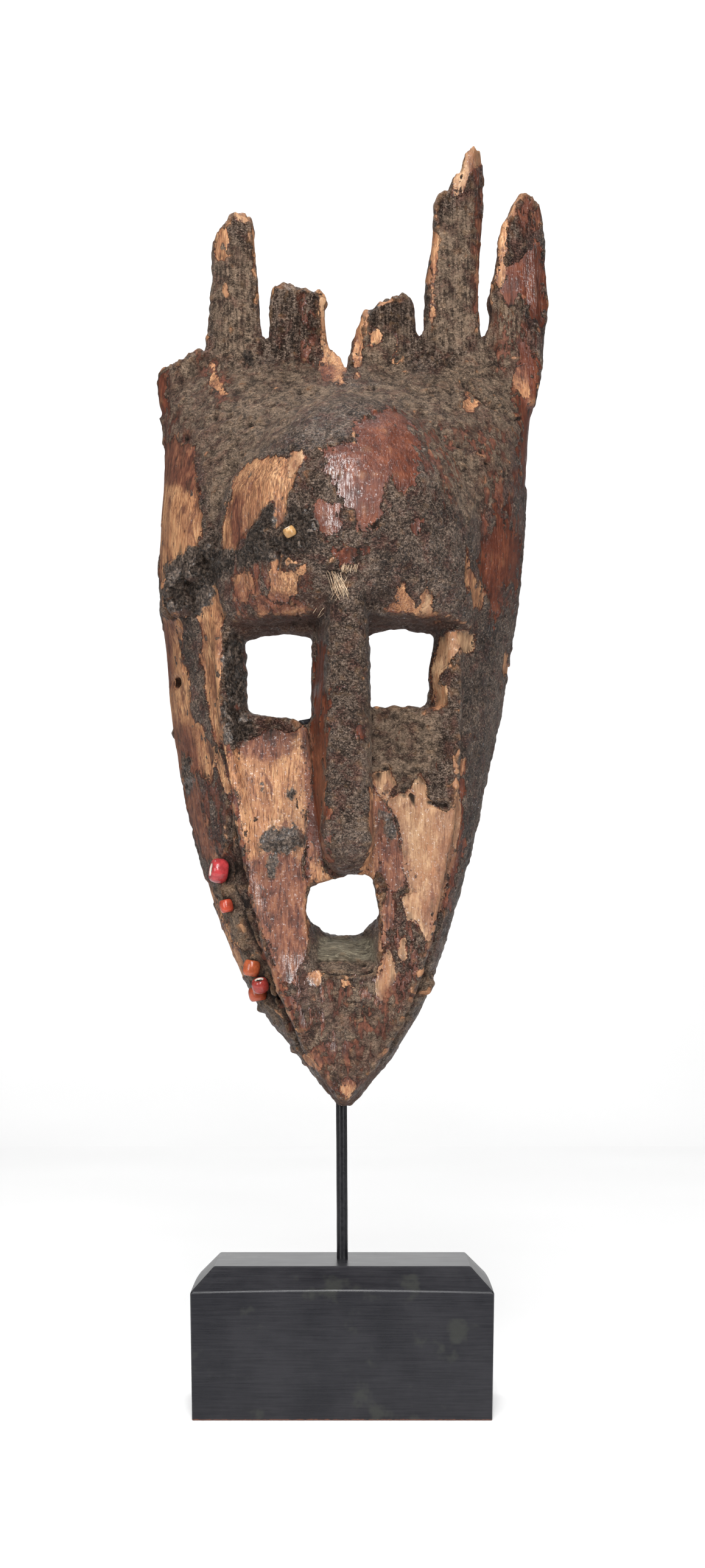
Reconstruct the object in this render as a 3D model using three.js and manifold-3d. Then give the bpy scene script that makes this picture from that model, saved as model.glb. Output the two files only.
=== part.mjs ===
import * as THREE from 'three';
import { mergeVertices } from 'three/addons/utils/BufferGeometryUtils.js';
import Module from 'manifold-3d';

// Carved wooden face mask with six broken horns, held up by a bent rod on a chamfered block.
// Millimetres, +Z up. The face looks along -Y, and +X is on the viewer's right.
// The origin is the centre of the block's underside.

const wasm = await Module();
wasm.setup();

// Stand
const BLOCK_WIDTH = 159;
const BLOCK_DEPTH = 90;
const BLOCK_HEIGHT = 79.5;
const BLOCK_SHOULDER = 66.8;
const BLOCK_CHAMFER = 12;
const BLOCK_DRAFT = 1;
const ROD_DIAMETER = 6;
const ROD_SEAT_DEPTH = 26;
const GAP = 0.3;

// Mask, with heights measured up from the tip of the chin
const TIP_HEIGHT = 162;
const CREST_HEIGHT = 424;
const FACE_TOP = 236;
const HEAD_START = 274;
const WALL = 13;
const PANEL_BACK = -43;
const DETAIL_HALF_WIDTH = 34;
const SHOULDER_OUT = 3.5;
const SHOULDER_SET_BACK = 17;
const FLANK_STEPS = 8;
const CHEEK_STEPS = 4;
const REAR_STEPS = 5;
const CREST_BOW = 14;
const CREST_HALF_WIDTH = 100;
const CREST_MIDDLE_Y = 20;
const CREST_DEPTH = 25;
const NOSE_MIDDLE = 2.7;

// Side view and front view of the mask: [height above the tip, place]
const RIM_LEFT = [
  [0, -1.5], [6, -7], [25, -20], [39, -31.5], [52, -42.5], [65, -51.3], [91, -63], [131, -76.5],
  [171, -86.9], [225, -95.2], [306, -100.2], [347, -97.2], [388, -100.4], [424, -103],
];
const RIM_RIGHT = [
  [0, 4.5], [6, 10.5], [25, 23.3], [39, 30.8], [52, 39.2], [65, 45.2], [91, 53.2], [131, 66.4],
  [171, 76.3], [225, 88.6], [306, 98.7], [347, 100.5], [388, 104.6], [424, 109.5],
];
const RIM_Y = [[0, -3.5], [90, -3.5], [130, 4], [180, 14], [240, 22], [320, 28], [424, 32]];
const RIDGE_LEFT = [
  [0, 0], [10, -7], [26, -16.4], [53, -29.6], [84, -40.9], [122, -49.8], [160, -56.8], [210, -64.3],
  [250, -66.5],
];
const RIDGE_RIGHT = [
  [0, 3], [10, 8.5], [26, 20], [53, 34], [84, 45], [122, 53.6], [160, 59.4], [210, 61.3], [250, 61.3],
];
const RIDGE_Y = [[0, -48], [40, -54], [84, -58.5], [160, -60.5], [250, -62]];
const CHEEK_SINK = [[0, 0], [60, 1], [120, 3], [170, 6], [210, 9], [250, 9]];
const CHEEK_EDGE_LEFT = 0.8;
const CHEEK_EDGE_RIGHT = 0.35;
const GROOVE_DEPTH = [[0, 0], [30, 2], [60, 5], [150, 5.5], [200, 1.5], [225, 0]];
const FLANK_SWELL = [[0, 2], [60, 2.5], [130, 3.5], [220, 5]];
const HEAD_FRONT_Y = [
  [236, -60], [262, -66], [300, -71], [325, -69], [345, -61], [365, -45], [382, -27], [395, -13], [407, -4],
  [424, 2],
];
const HEAD_SQUARENESS = 2.5;

// Sections through the body: closer at the tip, then wider apart
const BODY_LEVELS = [
  { from: 0.6, to: 20, count: 4 }, { from: 20, to: FACE_TOP, count: 20 },
  { from: FACE_TOP, to: 340, count: 8 }, { from: 340, to: CREST_HEIGHT, count: 8 },
];
const SLAB_REACH = 150;

// Forehead dome
const DOME_MIDDLE = 2.6;
const DOME_SEAT_Y = -30;
const DOME_HALF_WIDTH = [
  [249, 66], [262, 70], [290, 73], [315, 70], [335, 61], [350, 50], [360, 39], [367, 26], [371, 12],
];
const DOME_FRONT_Y = [
  [249, -84], [262, -94], [280, -102], [300, -107], [315, -107.5], [335, -101.5], [350, -92], [360, -82],
  [367, -71], [371, -62],
];
const DOME_SQUARENESS = [[249, 2.9], [290, 2], [371, 2]];
const DOME_LEVELS = [249, 255, 262, 275, 290, 305, 320, 335, 347, 356, 363, 368, 371];
const DOME_SEAT_BACK = 12;
const DOME_REACH = 54;
const FOREHEAD_HOLLOW = { y: -36, height: 304, halfWidth: 47, halfDepth: 50, halfHeight: 45 };
const BROW_RISE = 6;

// Nose
const NOSE_FRONT_Y = [
  [125, -70], [127, -82], [131, -91], [137, -97], [146, -100.5], [165, -101], [200, -99], [250, -96],
  [275, -100.5], [300, -107],
];
const NOSE_HALF_FRONT = [
  [125, 4.5], [127, 7.2], [131, 9.8], [137, 11.6], [146, 11.8], [165, 10.4], [200, 9.4], [250, 8.4], [300, 4],
];
const NOSE_HALF_BASE_LEFT = [
  [125, 5], [127, 7.8], [131, 10.6], [137, 12.8], [146, 14], [200, 20], [215, 16.5], [300, 14],
];
const NOSE_HALF_BASE_RIGHT = [
  [125, 5], [127, 7.6], [131, 10.2], [137, 11.8], [200, 11.6], [250, 10], [300, 12],
];
const NOSE_BASE_Y = -46;
const NOSE_ROOT_Y = -60;
const NOSE_LEVELS = [125, 127, 131, 137, 146, 165, 195, 225, 250, 262, 275, 288, 300];

// Open hollow at the back
const HOLLOW_LEVELS = [
  90.5, 93, 97, 103, 111, 122, 145, 175, 205, 240, 280, 310, 330, 346, 360, 371, 379, 383,
];
const HOLLOW_BOTTOM = 90;
const HOLLOW_BOTTOM_CURVE = 42;
const HOLLOW_TOP_START = 315;
const HOLLOW_TOP_CURVE = 69;
const HOLLOW_SIDE_Y = 18;
const HOLLOW_REAR_Y = 60;
const HOLLOW_STEPS = 17;
const HEAD_WALL = 15;

const material = (name, color, roughness, metalness) =>
  new THREE.MeshStandardMaterial({ name, color, roughness, metalness, flatShading: true });

// Smooth curve through [place, value] stations, held level past both ends.
function along(stations, place) {
  const last = stations.length - 1;
  if (place <= stations[0][0]) return stations[0][1];
  if (place >= stations[last][0]) return stations[last][1];
  let i = 0;
  while (stations[i + 1][0] < place) i += 1;
  const slope = (a, b) => (stations[b][1] - stations[a][1]) / (stations[b][0] - stations[a][0]);
  const [x0, y0] = stations[i];
  const [x1, y1] = stations[i + 1];
  const middle = slope(i, i + 1);
  const startSlope = i > 0 ? easedSlope(slope(i - 1, i), middle) : middle;
  const endSlope = i + 1 < last ? easedSlope(middle, slope(i + 1, i + 2)) : middle;
  const width = x1 - x0;
  const t = (place - x0) / width;
  const rise = t * t * (3 - 2 * t);
  return y0 + (y1 - y0) * rise
    + width * (startSlope * t * (1 - t) * (1 - t) - endSlope * t * t * (1 - t));
}

// Slope shared by two neighbouring stretches, level where they turn back, so that a curve never overshoots.
function easedSlope(before, after) {
  return before * after <= 0 ? 0 : 2 * before * after / (before + after);
}

function blend(a, b, share) {
  return a + (b - a) * share;
}

function ease(from, to, place) {
  return THREE.MathUtils.smoothstep(place, from, to);
}

// Closed body through rings that all have the same number of points. A fan from its middle closes each end.
function loft(rings) {
  const count = rings[0].length;
  const middleOf = (ring) =>
    ring.reduce((sum, point) => sum.add(point), new THREE.Vector3()).divideScalar(count);
  const ends = [middleOf(rings[0]), middleOf(rings.at(-1))];
  const positions = [...rings.flat(), ...ends].flatMap((point) => [point.x, point.y, point.z]);
  const index = [];
  const lastRow = (rings.length - 1) * count;
  const firstMiddle = rings.length * count;
  for (let column = 0; column < count; column += 1) {
    const next = (column + 1) % count;
    for (let row = 0; row < lastRow; row += count) {
      index.push(row + column, row + next, row + next + count);
      index.push(row + column, row + next + count, row + column + count);
    }
    index.push(next, column, firstMiddle, lastRow + column, lastRow + next, firstMiddle + 1);
  }
  const geometry = new THREE.BufferGeometry();
  geometry.setAttribute('position', new THREE.Float32BufferAttribute(positions, 3));
  geometry.setIndex(index);
  return geometry;
}

// Upright slab: an outline drawn in X and Z, given its thickness along Y.
function uprightSlab(points, frontY, backY) {
  const shape = new THREE.Shape(points.map(([x, z]) => new THREE.Vector2(x, z)));
  const geometry = new THREE.ExtrudeGeometry(shape, { depth: backY - frontY, bevelEnabled: false });
  geometry.rotateX(Math.PI / 2);
  geometry.translate(0, backY, 0);
  return geometry;
}

function toSolid(geometry) {
  const bare = geometry.index ? geometry : geometry.clone();
  bare.deleteAttribute('normal');
  bare.deleteAttribute('uv');
  const merged = mergeVertices(bare, 1e-4);
  const vertProperties = new Float32Array(merged.attributes.position.array);
  const triVerts = new Uint32Array(merged.index.array);
  let volume = 0;
  const corner = (i) => new THREE.Vector3().fromArray(vertProperties, triVerts[i] * 3);
  for (let i = 0; i < triVerts.length; i += 3) {
    volume += corner(i).dot(corner(i + 1).cross(corner(i + 2)));
  }
  if (volume < 0) {
    for (let i = 0; i < triVerts.length; i += 3) {
      [triVerts[i], triVerts[i + 1]] = [triVerts[i + 1], triVerts[i]];
    }
  }
  return new wasm.Manifold(new wasm.Mesh({ numProp: 3, vertProperties, triVerts }));
}

function toGeometry(solid) {
  const mesh = solid.getMesh();
  const geometry = new THREE.BufferGeometry();
  geometry.setAttribute('position', new THREE.Float32BufferAttribute(mesh.vertProperties, 3));
  geometry.setIndex(Array.from(mesh.triVerts));
  geometry.computeVertexNormals();
  return geometry;
}

function join(solids) {
  return solids.reduce((whole, solid) => whole.add(solid));
}

// The largest closed surface of a solid: pockets sealed inside where pieces were joined become solid wood.
function withoutPockets(solid) {
  const surfaces = solid.decompose();
  return surfaces.reduce((best, surface) => (surface.volume() > best.volume() ? surface : best));
}

// Half of a horizontal section through the face, from the rear rim to just short of the middle.
function faceHalf(height, side) {
  const rimX = along(side < 0 ? RIM_LEFT : RIM_RIGHT, height);
  const ridgeX = along(side < 0 ? RIDGE_LEFT : RIDGE_RIGHT, height);
  const rimY = along(RIM_Y, height);
  const ridgeY = along(RIDGE_Y, height);
  const narrow = Math.min(1, Math.abs(rimX - NOSE_MIDDLE) / DETAIL_HALF_WIDTH);
  const sink = along(CHEEK_SINK, height);
  const groove = along(GROOVE_DEPTH, height) * (side < 0 ? 1 : 0.7);
  const shoulderX = ridgeX + side * SHOULDER_OUT * narrow;
  const shoulderY = ridgeY + SHOULDER_SET_BACK * narrow;
  const half = [];
  for (let i = 0; i < FLANK_STEPS; i += 1) {
    const t = i / (FLANK_STEPS - 1);
    const swell = along(FLANK_SWELL, height) * narrow * Math.sin(Math.PI * t);
    half.push([blend(rimX, shoulderX, t) + side * swell, blend(rimY, shoulderY, t) - 0.35 * swell]);
  }
  half.push([ridgeX + side * (1.5 * narrow - groove), shoulderY - 3.5 * narrow]);
  half.push([ridgeX - side * 0.2 * groove, ridgeY + 8 * narrow]);
  half.push([ridgeX, ridgeY + 2 * narrow]);
  half.push([ridgeX - side * 2 * narrow, ridgeY]);
  half.push([ridgeX - side * 5 * narrow, ridgeY + 0.5 * narrow]);
  const cheekStart = ridgeX - side * 9 * narrow;
  for (let i = 0; i < CHEEK_STEPS; i += 1) {
    const t = i / CHEEK_STEPS;
    const sunk = sink * blend(side < 0 ? CHEEK_EDGE_LEFT : CHEEK_EDGE_RIGHT, 1, ease(0, 0.5, t));
    half.push([blend(cheekStart, NOSE_MIDDLE, t), ridgeY + sunk * (1 - 0.4 * t * t) - 3 * t * t]);
  }
  return half;
}

// Half of a section through the head above the eyes: a rounded, boxy bow from the rim to the middle.
function headHalf(height, side, count) {
  const rimX = along(side < 0 ? RIM_LEFT : RIM_RIGHT, height);
  const rimY = along(RIM_Y, height);
  const frontY = along(HEAD_FRONT_Y, height);
  const half = [];
  for (let i = 0; i < count; i += 1) {
    const angle = (Math.PI / 2) * (i / count);
    const across = Math.cos(angle) ** (2 / HEAD_SQUARENESS);
    const forward = Math.sin(angle) ** (2 / HEAD_SQUARENESS);
    half.push([rimX * across, blend(rimY, frontY, forward)]);
  }
  return half;
}

// Whole horizontal section of the mask's body, from the left rim round the front and back along the rear.
function bodySection(height) {
  const share = ease(FACE_TOP, HEAD_START, height);
  const halves = [-1, 1].map((side) => {
    const face = faceHalf(height, side);
    const head = headHalf(height, side, face.length);
    return face.map(([x, y], i) => [blend(x, head[i][0], share), blend(y, head[i][1], share)]);
  });
  const middleY = blend(
    along(RIDGE_Y, height) + 0.6 * along(CHEEK_SINK, height) - 3 * ease(0, 60, height),
    along(HEAD_FRONT_Y, height),
    share,
  );
  const rear = [];
  const bow = CREST_BOW * ease(95, 220, height);
  for (let i = 1; i < REAR_STEPS; i += 1) {
    const x = blend(along(RIM_RIGHT, height), along(RIM_LEFT, height), i / REAR_STEPS);
    rear.push([x, along(RIM_Y, height) - bow * (1 - (2 * i / REAR_STEPS - 1) ** 2)]);
  }
  return [...halves[0], [NOSE_MIDDLE, middleY], ...halves[1].reverse(), ...rear];
}

// The chin's underside slopes down a little towards the rear.
function keelDrop(y, height) {
  return -0.1 * y * (1 - ease(0, 30, height));
}

function maskBody() {
  const heights = BODY_LEVELS.flatMap(({ from, to, count }) =>
    Array.from({ length: count }, (_, i) => blend(from, to, i / count)));
  const body = loft([...heights, CREST_HEIGHT].map((height) => bodySection(height).map(
    ([x, y]) => new THREE.Vector3(x, y, height + keelDrop(y, height)),
  )));
  return toSolid(body).intersect(toSolid(uprightSlab(CREST_OUTLINE, -SLAB_REACH, SLAB_REACH)));
}

// Ring of a rounded, boxy outline with its own half widths to the left and right, front and back.
function roundedRing(middleX, middleY, halfWidth, front, back, squareness, count) {
  const ring = [];
  for (let i = 0; i < count; i += 1) {
    const angle = (2 * Math.PI * i) / count;
    const bulge = (value) => Math.sign(value) * Math.abs(value) ** (2 / squareness);
    const across = bulge(Math.cos(angle));
    const forward = bulge(-Math.sin(angle));
    ring.push([middleX + halfWidth * across, middleY + forward * (forward < 0 ? front : back)]);
  }
  return ring;
}

// Domed forehead over the brow, whose lower edge rises towards the front.
function foreheadDome() {
  return loft(DOME_LEVELS.map((height) => {
    const halfWidth = along(DOME_HALF_WIDTH, height);
    const front = DOME_SEAT_Y - along(DOME_FRONT_Y, height);
    const tilt = BROW_RISE * (1 - ease(DOME_LEVELS[0], DOME_LEVELS[3], height));
    const squareness = along(DOME_SQUARENESS, height);
    const ring = roundedRing(DOME_MIDDLE, DOME_SEAT_Y, halfWidth, front, DOME_SEAT_BACK, squareness, 26);
    return ring.map(([x, y]) => {
      const forward = Math.max(0, (DOME_SEAT_Y - y) / DOME_REACH);
      return new THREE.Vector3(x, y, height + tilt * forward);
    });
  }));
}

// Bowl that hollows the forehead from behind.
function foreheadHollow() {
  const { y, height, halfWidth, halfDepth, halfHeight } = FOREHEAD_HOLLOW;
  const geometry = new THREE.SphereGeometry(1, 18, 11);
  geometry.scale(halfWidth, halfDepth, halfHeight);
  geometry.translate(DOME_MIDDLE, y, height);
  return geometry;
}

function nose() {
  return loft(NOSE_LEVELS.map((height) => {
    const frontY = along(NOSE_FRONT_Y, height);
    const half = along(NOSE_HALF_FRONT, height);
    const side = (base) => [
      [base, NOSE_BASE_Y], [base, NOSE_ROOT_Y],
      [half + 1.5, frontY + 12], [half, frontY + 4.5], [half - 3.5, frontY + 0.8],
    ];
    const left = side(along(NOSE_HALF_BASE_LEFT, height)).map(([x, y]) => [-x, y]);
    const right = side(along(NOSE_HALF_BASE_RIGHT, height)).reverse();
    return [...left, [0, frontY], ...right].map(([x, y]) => new THREE.Vector3(NOSE_MIDDLE + x, y, height));
  }));
}

// Open hollow at the back, from its rounded lower end up to under the crest.
function hollow() {
  return loft(HOLLOW_LEVELS.map((height) => {
    const rise = Math.min(1, (height - HOLLOW_BOTTOM) / HOLLOW_BOTTOM_CURVE);
    const overTop = Math.max(0, (height - HOLLOW_TOP_START) / HOLLOW_TOP_CURVE);
    const bottomRound = Math.sqrt(Math.max(0.02, 1 - (1 - rise) ** 2));
    const topRound = Math.sqrt(Math.max(0.03, 1 - overTop ** 2));
    const round = bottomRound * topRound;
    const left = (along(RIM_LEFT, height) + WALL) * round;
    const right = (along(RIM_RIGHT, height) - WALL) * round;
    const slopeY = along(HEAD_FRONT_Y, height) + HEAD_WALL;
    const frontY = Math.max(PANEL_BACK * Math.min(1, bottomRound * 1.25), slopeY);
    const ring = [];
    for (let i = 0; i <= HOLLOW_STEPS; i += 1) {
      const angle = Math.PI * (i / HOLLOW_STEPS);
      const across = Math.sign(Math.cos(angle)) * Math.abs(Math.cos(angle)) ** (2 / 3);
      const forward = Math.sin(angle) ** (2 / 3);
      ring.push([across < 0 ? left * -across : right * across, blend(HOLLOW_SIDE_Y, frontY, forward)]);
    }
    ring.push([left, HOLLOW_REAR_Y], [right, HOLLOW_REAR_Y]);
    return ring.map(([x, y]) => new THREE.Vector3(x, y, height));
  }));
}

// Outline whose corners are cut round: where each curve starts, its middle and where it ends.
function roundedOutline(corners, radius) {
  return corners.flatMap((corner, i) => {
    const at = new THREE.Vector2(...corner);
    const toward = (other) => new THREE.Vector2(...other).sub(at).setLength(radius).add(at);
    const before = toward(corners.at(i - 1));
    const after = toward(corners[(i + 1) % corners.length]);
    const middle = before.clone().add(after).multiplyScalar(0.25).addScaledVector(at, 0.5);
    return [before, middle, after];
  });
}

// Hole cut through the face along Y, from one outline in front to another behind.
function faceHole(sections, radius) {
  return loft(sections.map(({ y, corners }) =>
    roundedOutline(corners, radius).map((corner) => new THREE.Vector3(corner.x, y, corner.y))));
}

// Eyes and mouth: corners as [x, height], clockwise from the upper left, at each depth
const EYE_LEFT = [
  { y: -72, corners: [[-63, 249], [-38, 250], [-14.5, 249], [-14.5, 202.5], [-63, 203.5]] },
  { y: -58, corners: [[-58.5, 249.5], [-36, 251], [-14.5, 249.5], [-14.5, 202.5], [-58.5, 204]] },
  { y: -46, corners: [[-51.6, 246], [-34, 249.8], [-15, 247.5], [-15.8, 202.4], [-49.4, 207.4]] },
  { y: -20, corners: [[-54, 249], [-34, 253.5], [-10, 250], [-11, 198], [-52, 204]] },
];
const EYE_RIGHT = [
  { y: -72, corners: [[11.6, 250.5], [36, 253], [60, 250.5], [60, 209], [12, 209]] },
  { y: -58, corners: [[11.6, 251], [34, 253.5], [54.5, 250.5], [53, 209], [12, 209]] },
  { y: -46, corners: [[11.9, 248.6], [30.1, 252.4], [48.4, 249.2], [44.4, 210.2], [13.8, 210.2]] },
  { y: -20, corners: [[8, 251], [30, 256], [50, 252], [46, 206], [9, 206]] },
];
const MOUTH = [
  { y: -75, corners: [
    [-18, 117], [4, 124], [12.5, 123.6], [18.2, 119.6], [19.7, 102], [18.3, 70.5], [-14.5, 71], [-19.6, 106],
  ] },
  { y: -56, corners: [
    [-17.9, 117.4], [3.8, 124], [12, 123.6], [17.4, 120], [19.5, 102.5], [18.3, 72], [-15.5, 73],
    [-19.7, 107],
  ] },
  { y: -42, corners: [
    [-19, 120], [3.8, 127.5], [12, 127], [18.5, 122.5], [21, 103], [14.5, 83], [-12, 84], [-20.6, 106],
  ] },
  { y: -26, corners: [
    [-20, 124], [3.8, 131], [13, 131], [20, 126], [20.6, 104], [10.5, 90.4], [-8, 91], [-20.6, 104.5],
  ] },
  { y: 4, corners: [
    [-21, 128], [4, 136], [13, 136], [21, 130], [22.5, 106], [11, 91], [-8, 91.5], [-21.5, 106],
  ] },
];
const EYE_CORNER = 3;
const MOUTH_CORNER = 3.5;
const LASH_HOLE = { x: -86.2, y: -2, height: 228, diameter: 7, length: 34, turn: -18 };

// Broken horns, from the viewer's left: front outline, and the facets of the front and rear faces as
// [share of the width, how far that edge is set back].
const HORNS = [
  {
    outline: [[-99.5, 380], [-100.8, 395.5], [-99, 400.4], [-92.8, 402.4], [-88, 403.5], [-83.2, 406.5],
      [-80.6, 409.5], [-77.5, 409.5], [-73.6, 406.8], [-72, 380]],
    facets: [[0, 9], [0.4, 0], [1, 2]],
  },
  {
    outline: [[-75, 380], [-73.5, 414], [-70.8, 451], [-70.1, 469], [-67.9, 474.5], [-62.7, 479.5],
      [-60.2, 483.5], [-51.9, 483.5], [-49.2, 477], [-47.4, 451], [-46.6, 430], [-44.3, 418], [-42, 380]],
    facets: [[0, 7], [0.42, 0], [1, 7]],
  },
  {
    outline: [[-41.6, 380], [-39.2, 413], [-38.7, 437], [-36.4, 443.7], [-29.5, 444.2], [-20, 440.2],
      [-12.8, 439.7], [-8.1, 436.4], [-10.4, 433], [-9.9, 420], [-7.1, 406.5], [-3.9, 407.5], [-0.7, 403.6],
      [1, 395], [1, 380]],
    facets: [[0, 6], [0.22, 0], [0.62, 1], [0.75, 4], [1, 9]],
  },
  {
    outline: [[3.4, 380], [3.4, 394], [6.4, 414.5], [11.2, 427.5], [19.2, 431.5], [24.7, 435.5],
      [36.3, 438.2], [38.5, 434], [39.6, 416], [40.8, 380]],
    facets: [[0, 7], [0.25, 1], [0.7, 0], [1, 6]],
  },
  {
    outline: [[44, 380], [44.1, 415], [45.8, 443.5], [49.6, 465], [50.4, 488], [52.2, 492], [58.2, 495],
      [60.2, 504], [64, 507.9], [67, 517], [70.1, 520.3], [75.3, 519.6], [76.8, 504], [75.4, 478],
      [73.4, 438], [74.2, 380]],
    facets: [[0, 7], [0.16, 0.5], [0.82, 0], [1, 8]],
  },
  {
    outline: [[76, 380], [75.7, 415.5], [81, 426], [82, 432], [79.6, 439], [81, 443.5], [86, 470],
      [87, 478.5], [90.6, 482.5],
      [92.7, 489.5], [98.2, 496.6], [103.5, 496.3], [108.3, 491], [110.7, 474], [112.2, 440], [108.8, 405],
      [104.3, 380]],
    facets: [[0, 9], [0.3, 1], [0.55, 0], [0.8, 4], [1, 13]],
  },
];
const HORN_TAPER = 0.72;
const HORN_ROOT = 379;
const HORN_FLARE_END = 412;
const HORN_ROOT_FLARE = 5;
const HORN_REAR_INSET = 1.5;
const HORN_REAR_CHAMFER = 3;

// Front view of the whole body, with a ragged top, saddles between the horns and a notch down the middle.
const CREST_OUTLINE = [
  [-130, -20], [-130, 394], [-99, 399], [-84, 403], [-73.6, 408.5], [-60, 411], [-41.7, 415.5], [-25, 411],
  [-8, 409], [-1, 403], [2.4, 390.5], [4, 402], [8, 411], [24, 412], [42.2, 417.5], [60, 411], [75.4, 416],
  [92, 406],
  [107, 399], [130, 396], [130, -20],
];

// Bend a row across the mask so that its middle stands further forward than its ends.
function bendAcross(geometry) {
  const position = geometry.attributes.position;
  for (let i = 0; i < position.count; i += 1) {
    const share = Math.min(1, (position.getX(i) / CREST_HALF_WIDTH) ** 2);
    position.setY(i, position.getY(i) - CREST_BOW * (1 - share));
  }
  return geometry;
}

function horn({ outline, facets }) {
  const across = outline.map(([x]) => x);
  const left = Math.min(...across) - 0.5;
  const right = Math.max(...across) + 0.5;
  const top = Math.max(...outline.map(([, height]) => height));
  const slab = uprightSlab(outline, CREST_MIDDLE_Y - CREST_DEPTH, CREST_MIDDLE_Y + CREST_DEPTH);
  const levels = [[HORN_ROOT, 1, HORN_ROOT_FLARE], [HORN_FLARE_END, 1, 0], [top + 2, HORN_TAPER, 0]];
  const bar = loft(levels.map(([height, thickness, flare]) => {
    const half = (CREST_DEPTH / 2) * thickness;
    const frontY = CREST_MIDDLE_Y - half - flare;
    const front = facets.map(([share, setBack]) => [blend(left, right, share), frontY + setBack]);
    const backY = CREST_MIDDLE_Y + half - HORN_REAR_INSET;
    const rear = [
      [right, backY - HORN_REAR_CHAMFER], [blend(left, right, 0.7), backY],
      [blend(left, right, 0.3), backY], [left, backY - HORN_REAR_CHAMFER],
    ];
    return [...front, ...rear].map(([x, y]) => new THREE.Vector3(x, y, height));
  }));
  return toSolid(bendAcross(slab)).intersect(toSolid(bendAcross(bar)));
}

// Lumps of wax and crust: [x, height, radius across, radius up, how far they stand out]
const LUMPS = [
  [-85, 276, 11, 9, 5], [-89.5, 269, 7, 8, 5], [-75, 283, 9, 6, 4.5], [-66, 290, 7, 6, 4],
  [-81, 266, 8, 5, 4],
  [-30, 304, 6, 5, 3], [-22, 292, 6, 5, 3], [42, 67, 6, 8, 4],
  [-58, 118, 6, 14, 3], [-50, 95, 6, 12, 3], [-44, 75, 6, 9, 3.5],
];

function lump(x, y, height, radiusX, radiusZ, radiusY) {
  const geometry = new THREE.SphereGeometry(1, 8, 5);
  geometry.scale(radiusX, radiusY, radiusZ);
  geometry.translate(x, y, height);
  return toSolid(geometry);
}

// Place of the body's skin at a height: walks its section's front side and reads the depth where X is met.
function skinY(x, height) {
  const section = bodySection(height).map(([px, py]) => ({ x: px, y: py }));
  for (let i = 0; i + 1 < section.length; i += 1) {
    const a = section[i];
    const b = section[i + 1];
    if (a.x <= x && b.x >= x) return blend(a.y, b.y, (x - a.x) / Math.max(1e-6, b.x - a.x));
  }
  return section[0].y;
}

// Place of the forehead dome's skin at a height.
function domeSkinY(x, height) {
  const squareness = along(DOME_SQUARENESS, height);
  const across = Math.abs(x - DOME_MIDDLE) / along(DOME_HALF_WIDTH, height);
  const reach = (1 - across ** squareness) ** (1 / squareness);
  return blend(DOME_SEAT_Y, along(DOME_FRONT_Y, height), reach);
}

// Glass beads, set into the skin: out is how far the middle stands in front of it, turn and tip are degrees
// about Z and Y.
const BEADS = [
  { name: 'bead_red_1', x: -65.2, height: 126, out: 1.5, diameter: 13.4, length: 9.5, turn: 25, tip: 8 },
  { name: 'bead_red_2', x: -61.2, height: 107.5, out: 1, diameter: 6.6, length: 6, turn: 20, tip: 0 },
  { name: 'bead_red_3', x: -47.7, height: 74.5, out: 1, diameter: 8.2, length: 7, turn: 30, tip: 10 },
  { name: 'bead_red_4', x: -43, height: 65.5, out: 3.5, diameter: 8.4, length: 5, turn: 70, tip: 0 },
  { name: 'bead_red_5', x: -45, height: 61, out: 0, diameter: 9.6, length: 6, turn: 20, tip: 0 },
];
const PALE_BEAD = { name: 'bead_pale', x: -26, height: 292.6, out: 1.5, diameter: 6, length: 5.4 };
const BEAD_BORE_SHARE = 0.14;
const BEAD_END_SHARE = 0.72;
const BEAD_FLAT_SHARE = 0.45;

function beadGeometry(diameter, length, grow = 0) {
  const outer = diameter / 2 + grow;
  const half = length / 2 + grow;
  const bore = Math.max(0.5, diameter * BEAD_BORE_SHARE - grow);
  const end = outer * BEAD_END_SHARE;
  const flat = half * BEAD_FLAT_SHARE;
  const profile = [
    [bore, -half], [end, -half], [outer, -flat], [outer, flat], [end, half], [bore, half], [bore, -half],
  ];
  const geometry = new THREE.LatheGeometry(profile.map(([x, y]) => new THREE.Vector2(x, y)), 10);
  geometry.rotateZ(Math.PI / 2);
  return geometry;
}

function placedBead(bead, grow) {
  const geometry = beadGeometry(bead.diameter, bead.length, grow);
  geometry.rotateY(THREE.MathUtils.degToRad(bead.tip ?? 0));
  geometry.rotateZ(THREE.MathUtils.degToRad(bead.turn ?? 0));
  geometry.translate(bead.x, bead.y, bead.height + TIP_HEIGHT);
  return geometry;
}

const ROD_SIDES = 9;
const ROD_STEPS = 36;
const ROD_ROUTE = [
  [0, 0, BLOCK_HEIGHT - ROD_SEAT_DEPTH + GAP], [-0.3, 0, 120], [-1, 0, TIP_HEIGHT + 20],
  [-3, 0.5, TIP_HEIGHT + 48], [-14, 1, TIP_HEIGHT + 68], [-26, 1, TIP_HEIGHT + 88],
  [-31, -4, TIP_HEIGHT + 112], [-30, -20, TIP_HEIGHT + 150], [-27, -34, TIP_HEIGHT + 180],
  [-24, -39, TIP_HEIGHT + 194], [-22, -45, TIP_HEIGHT + 202], [-19, -55, TIP_HEIGHT + 204],
];

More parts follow.
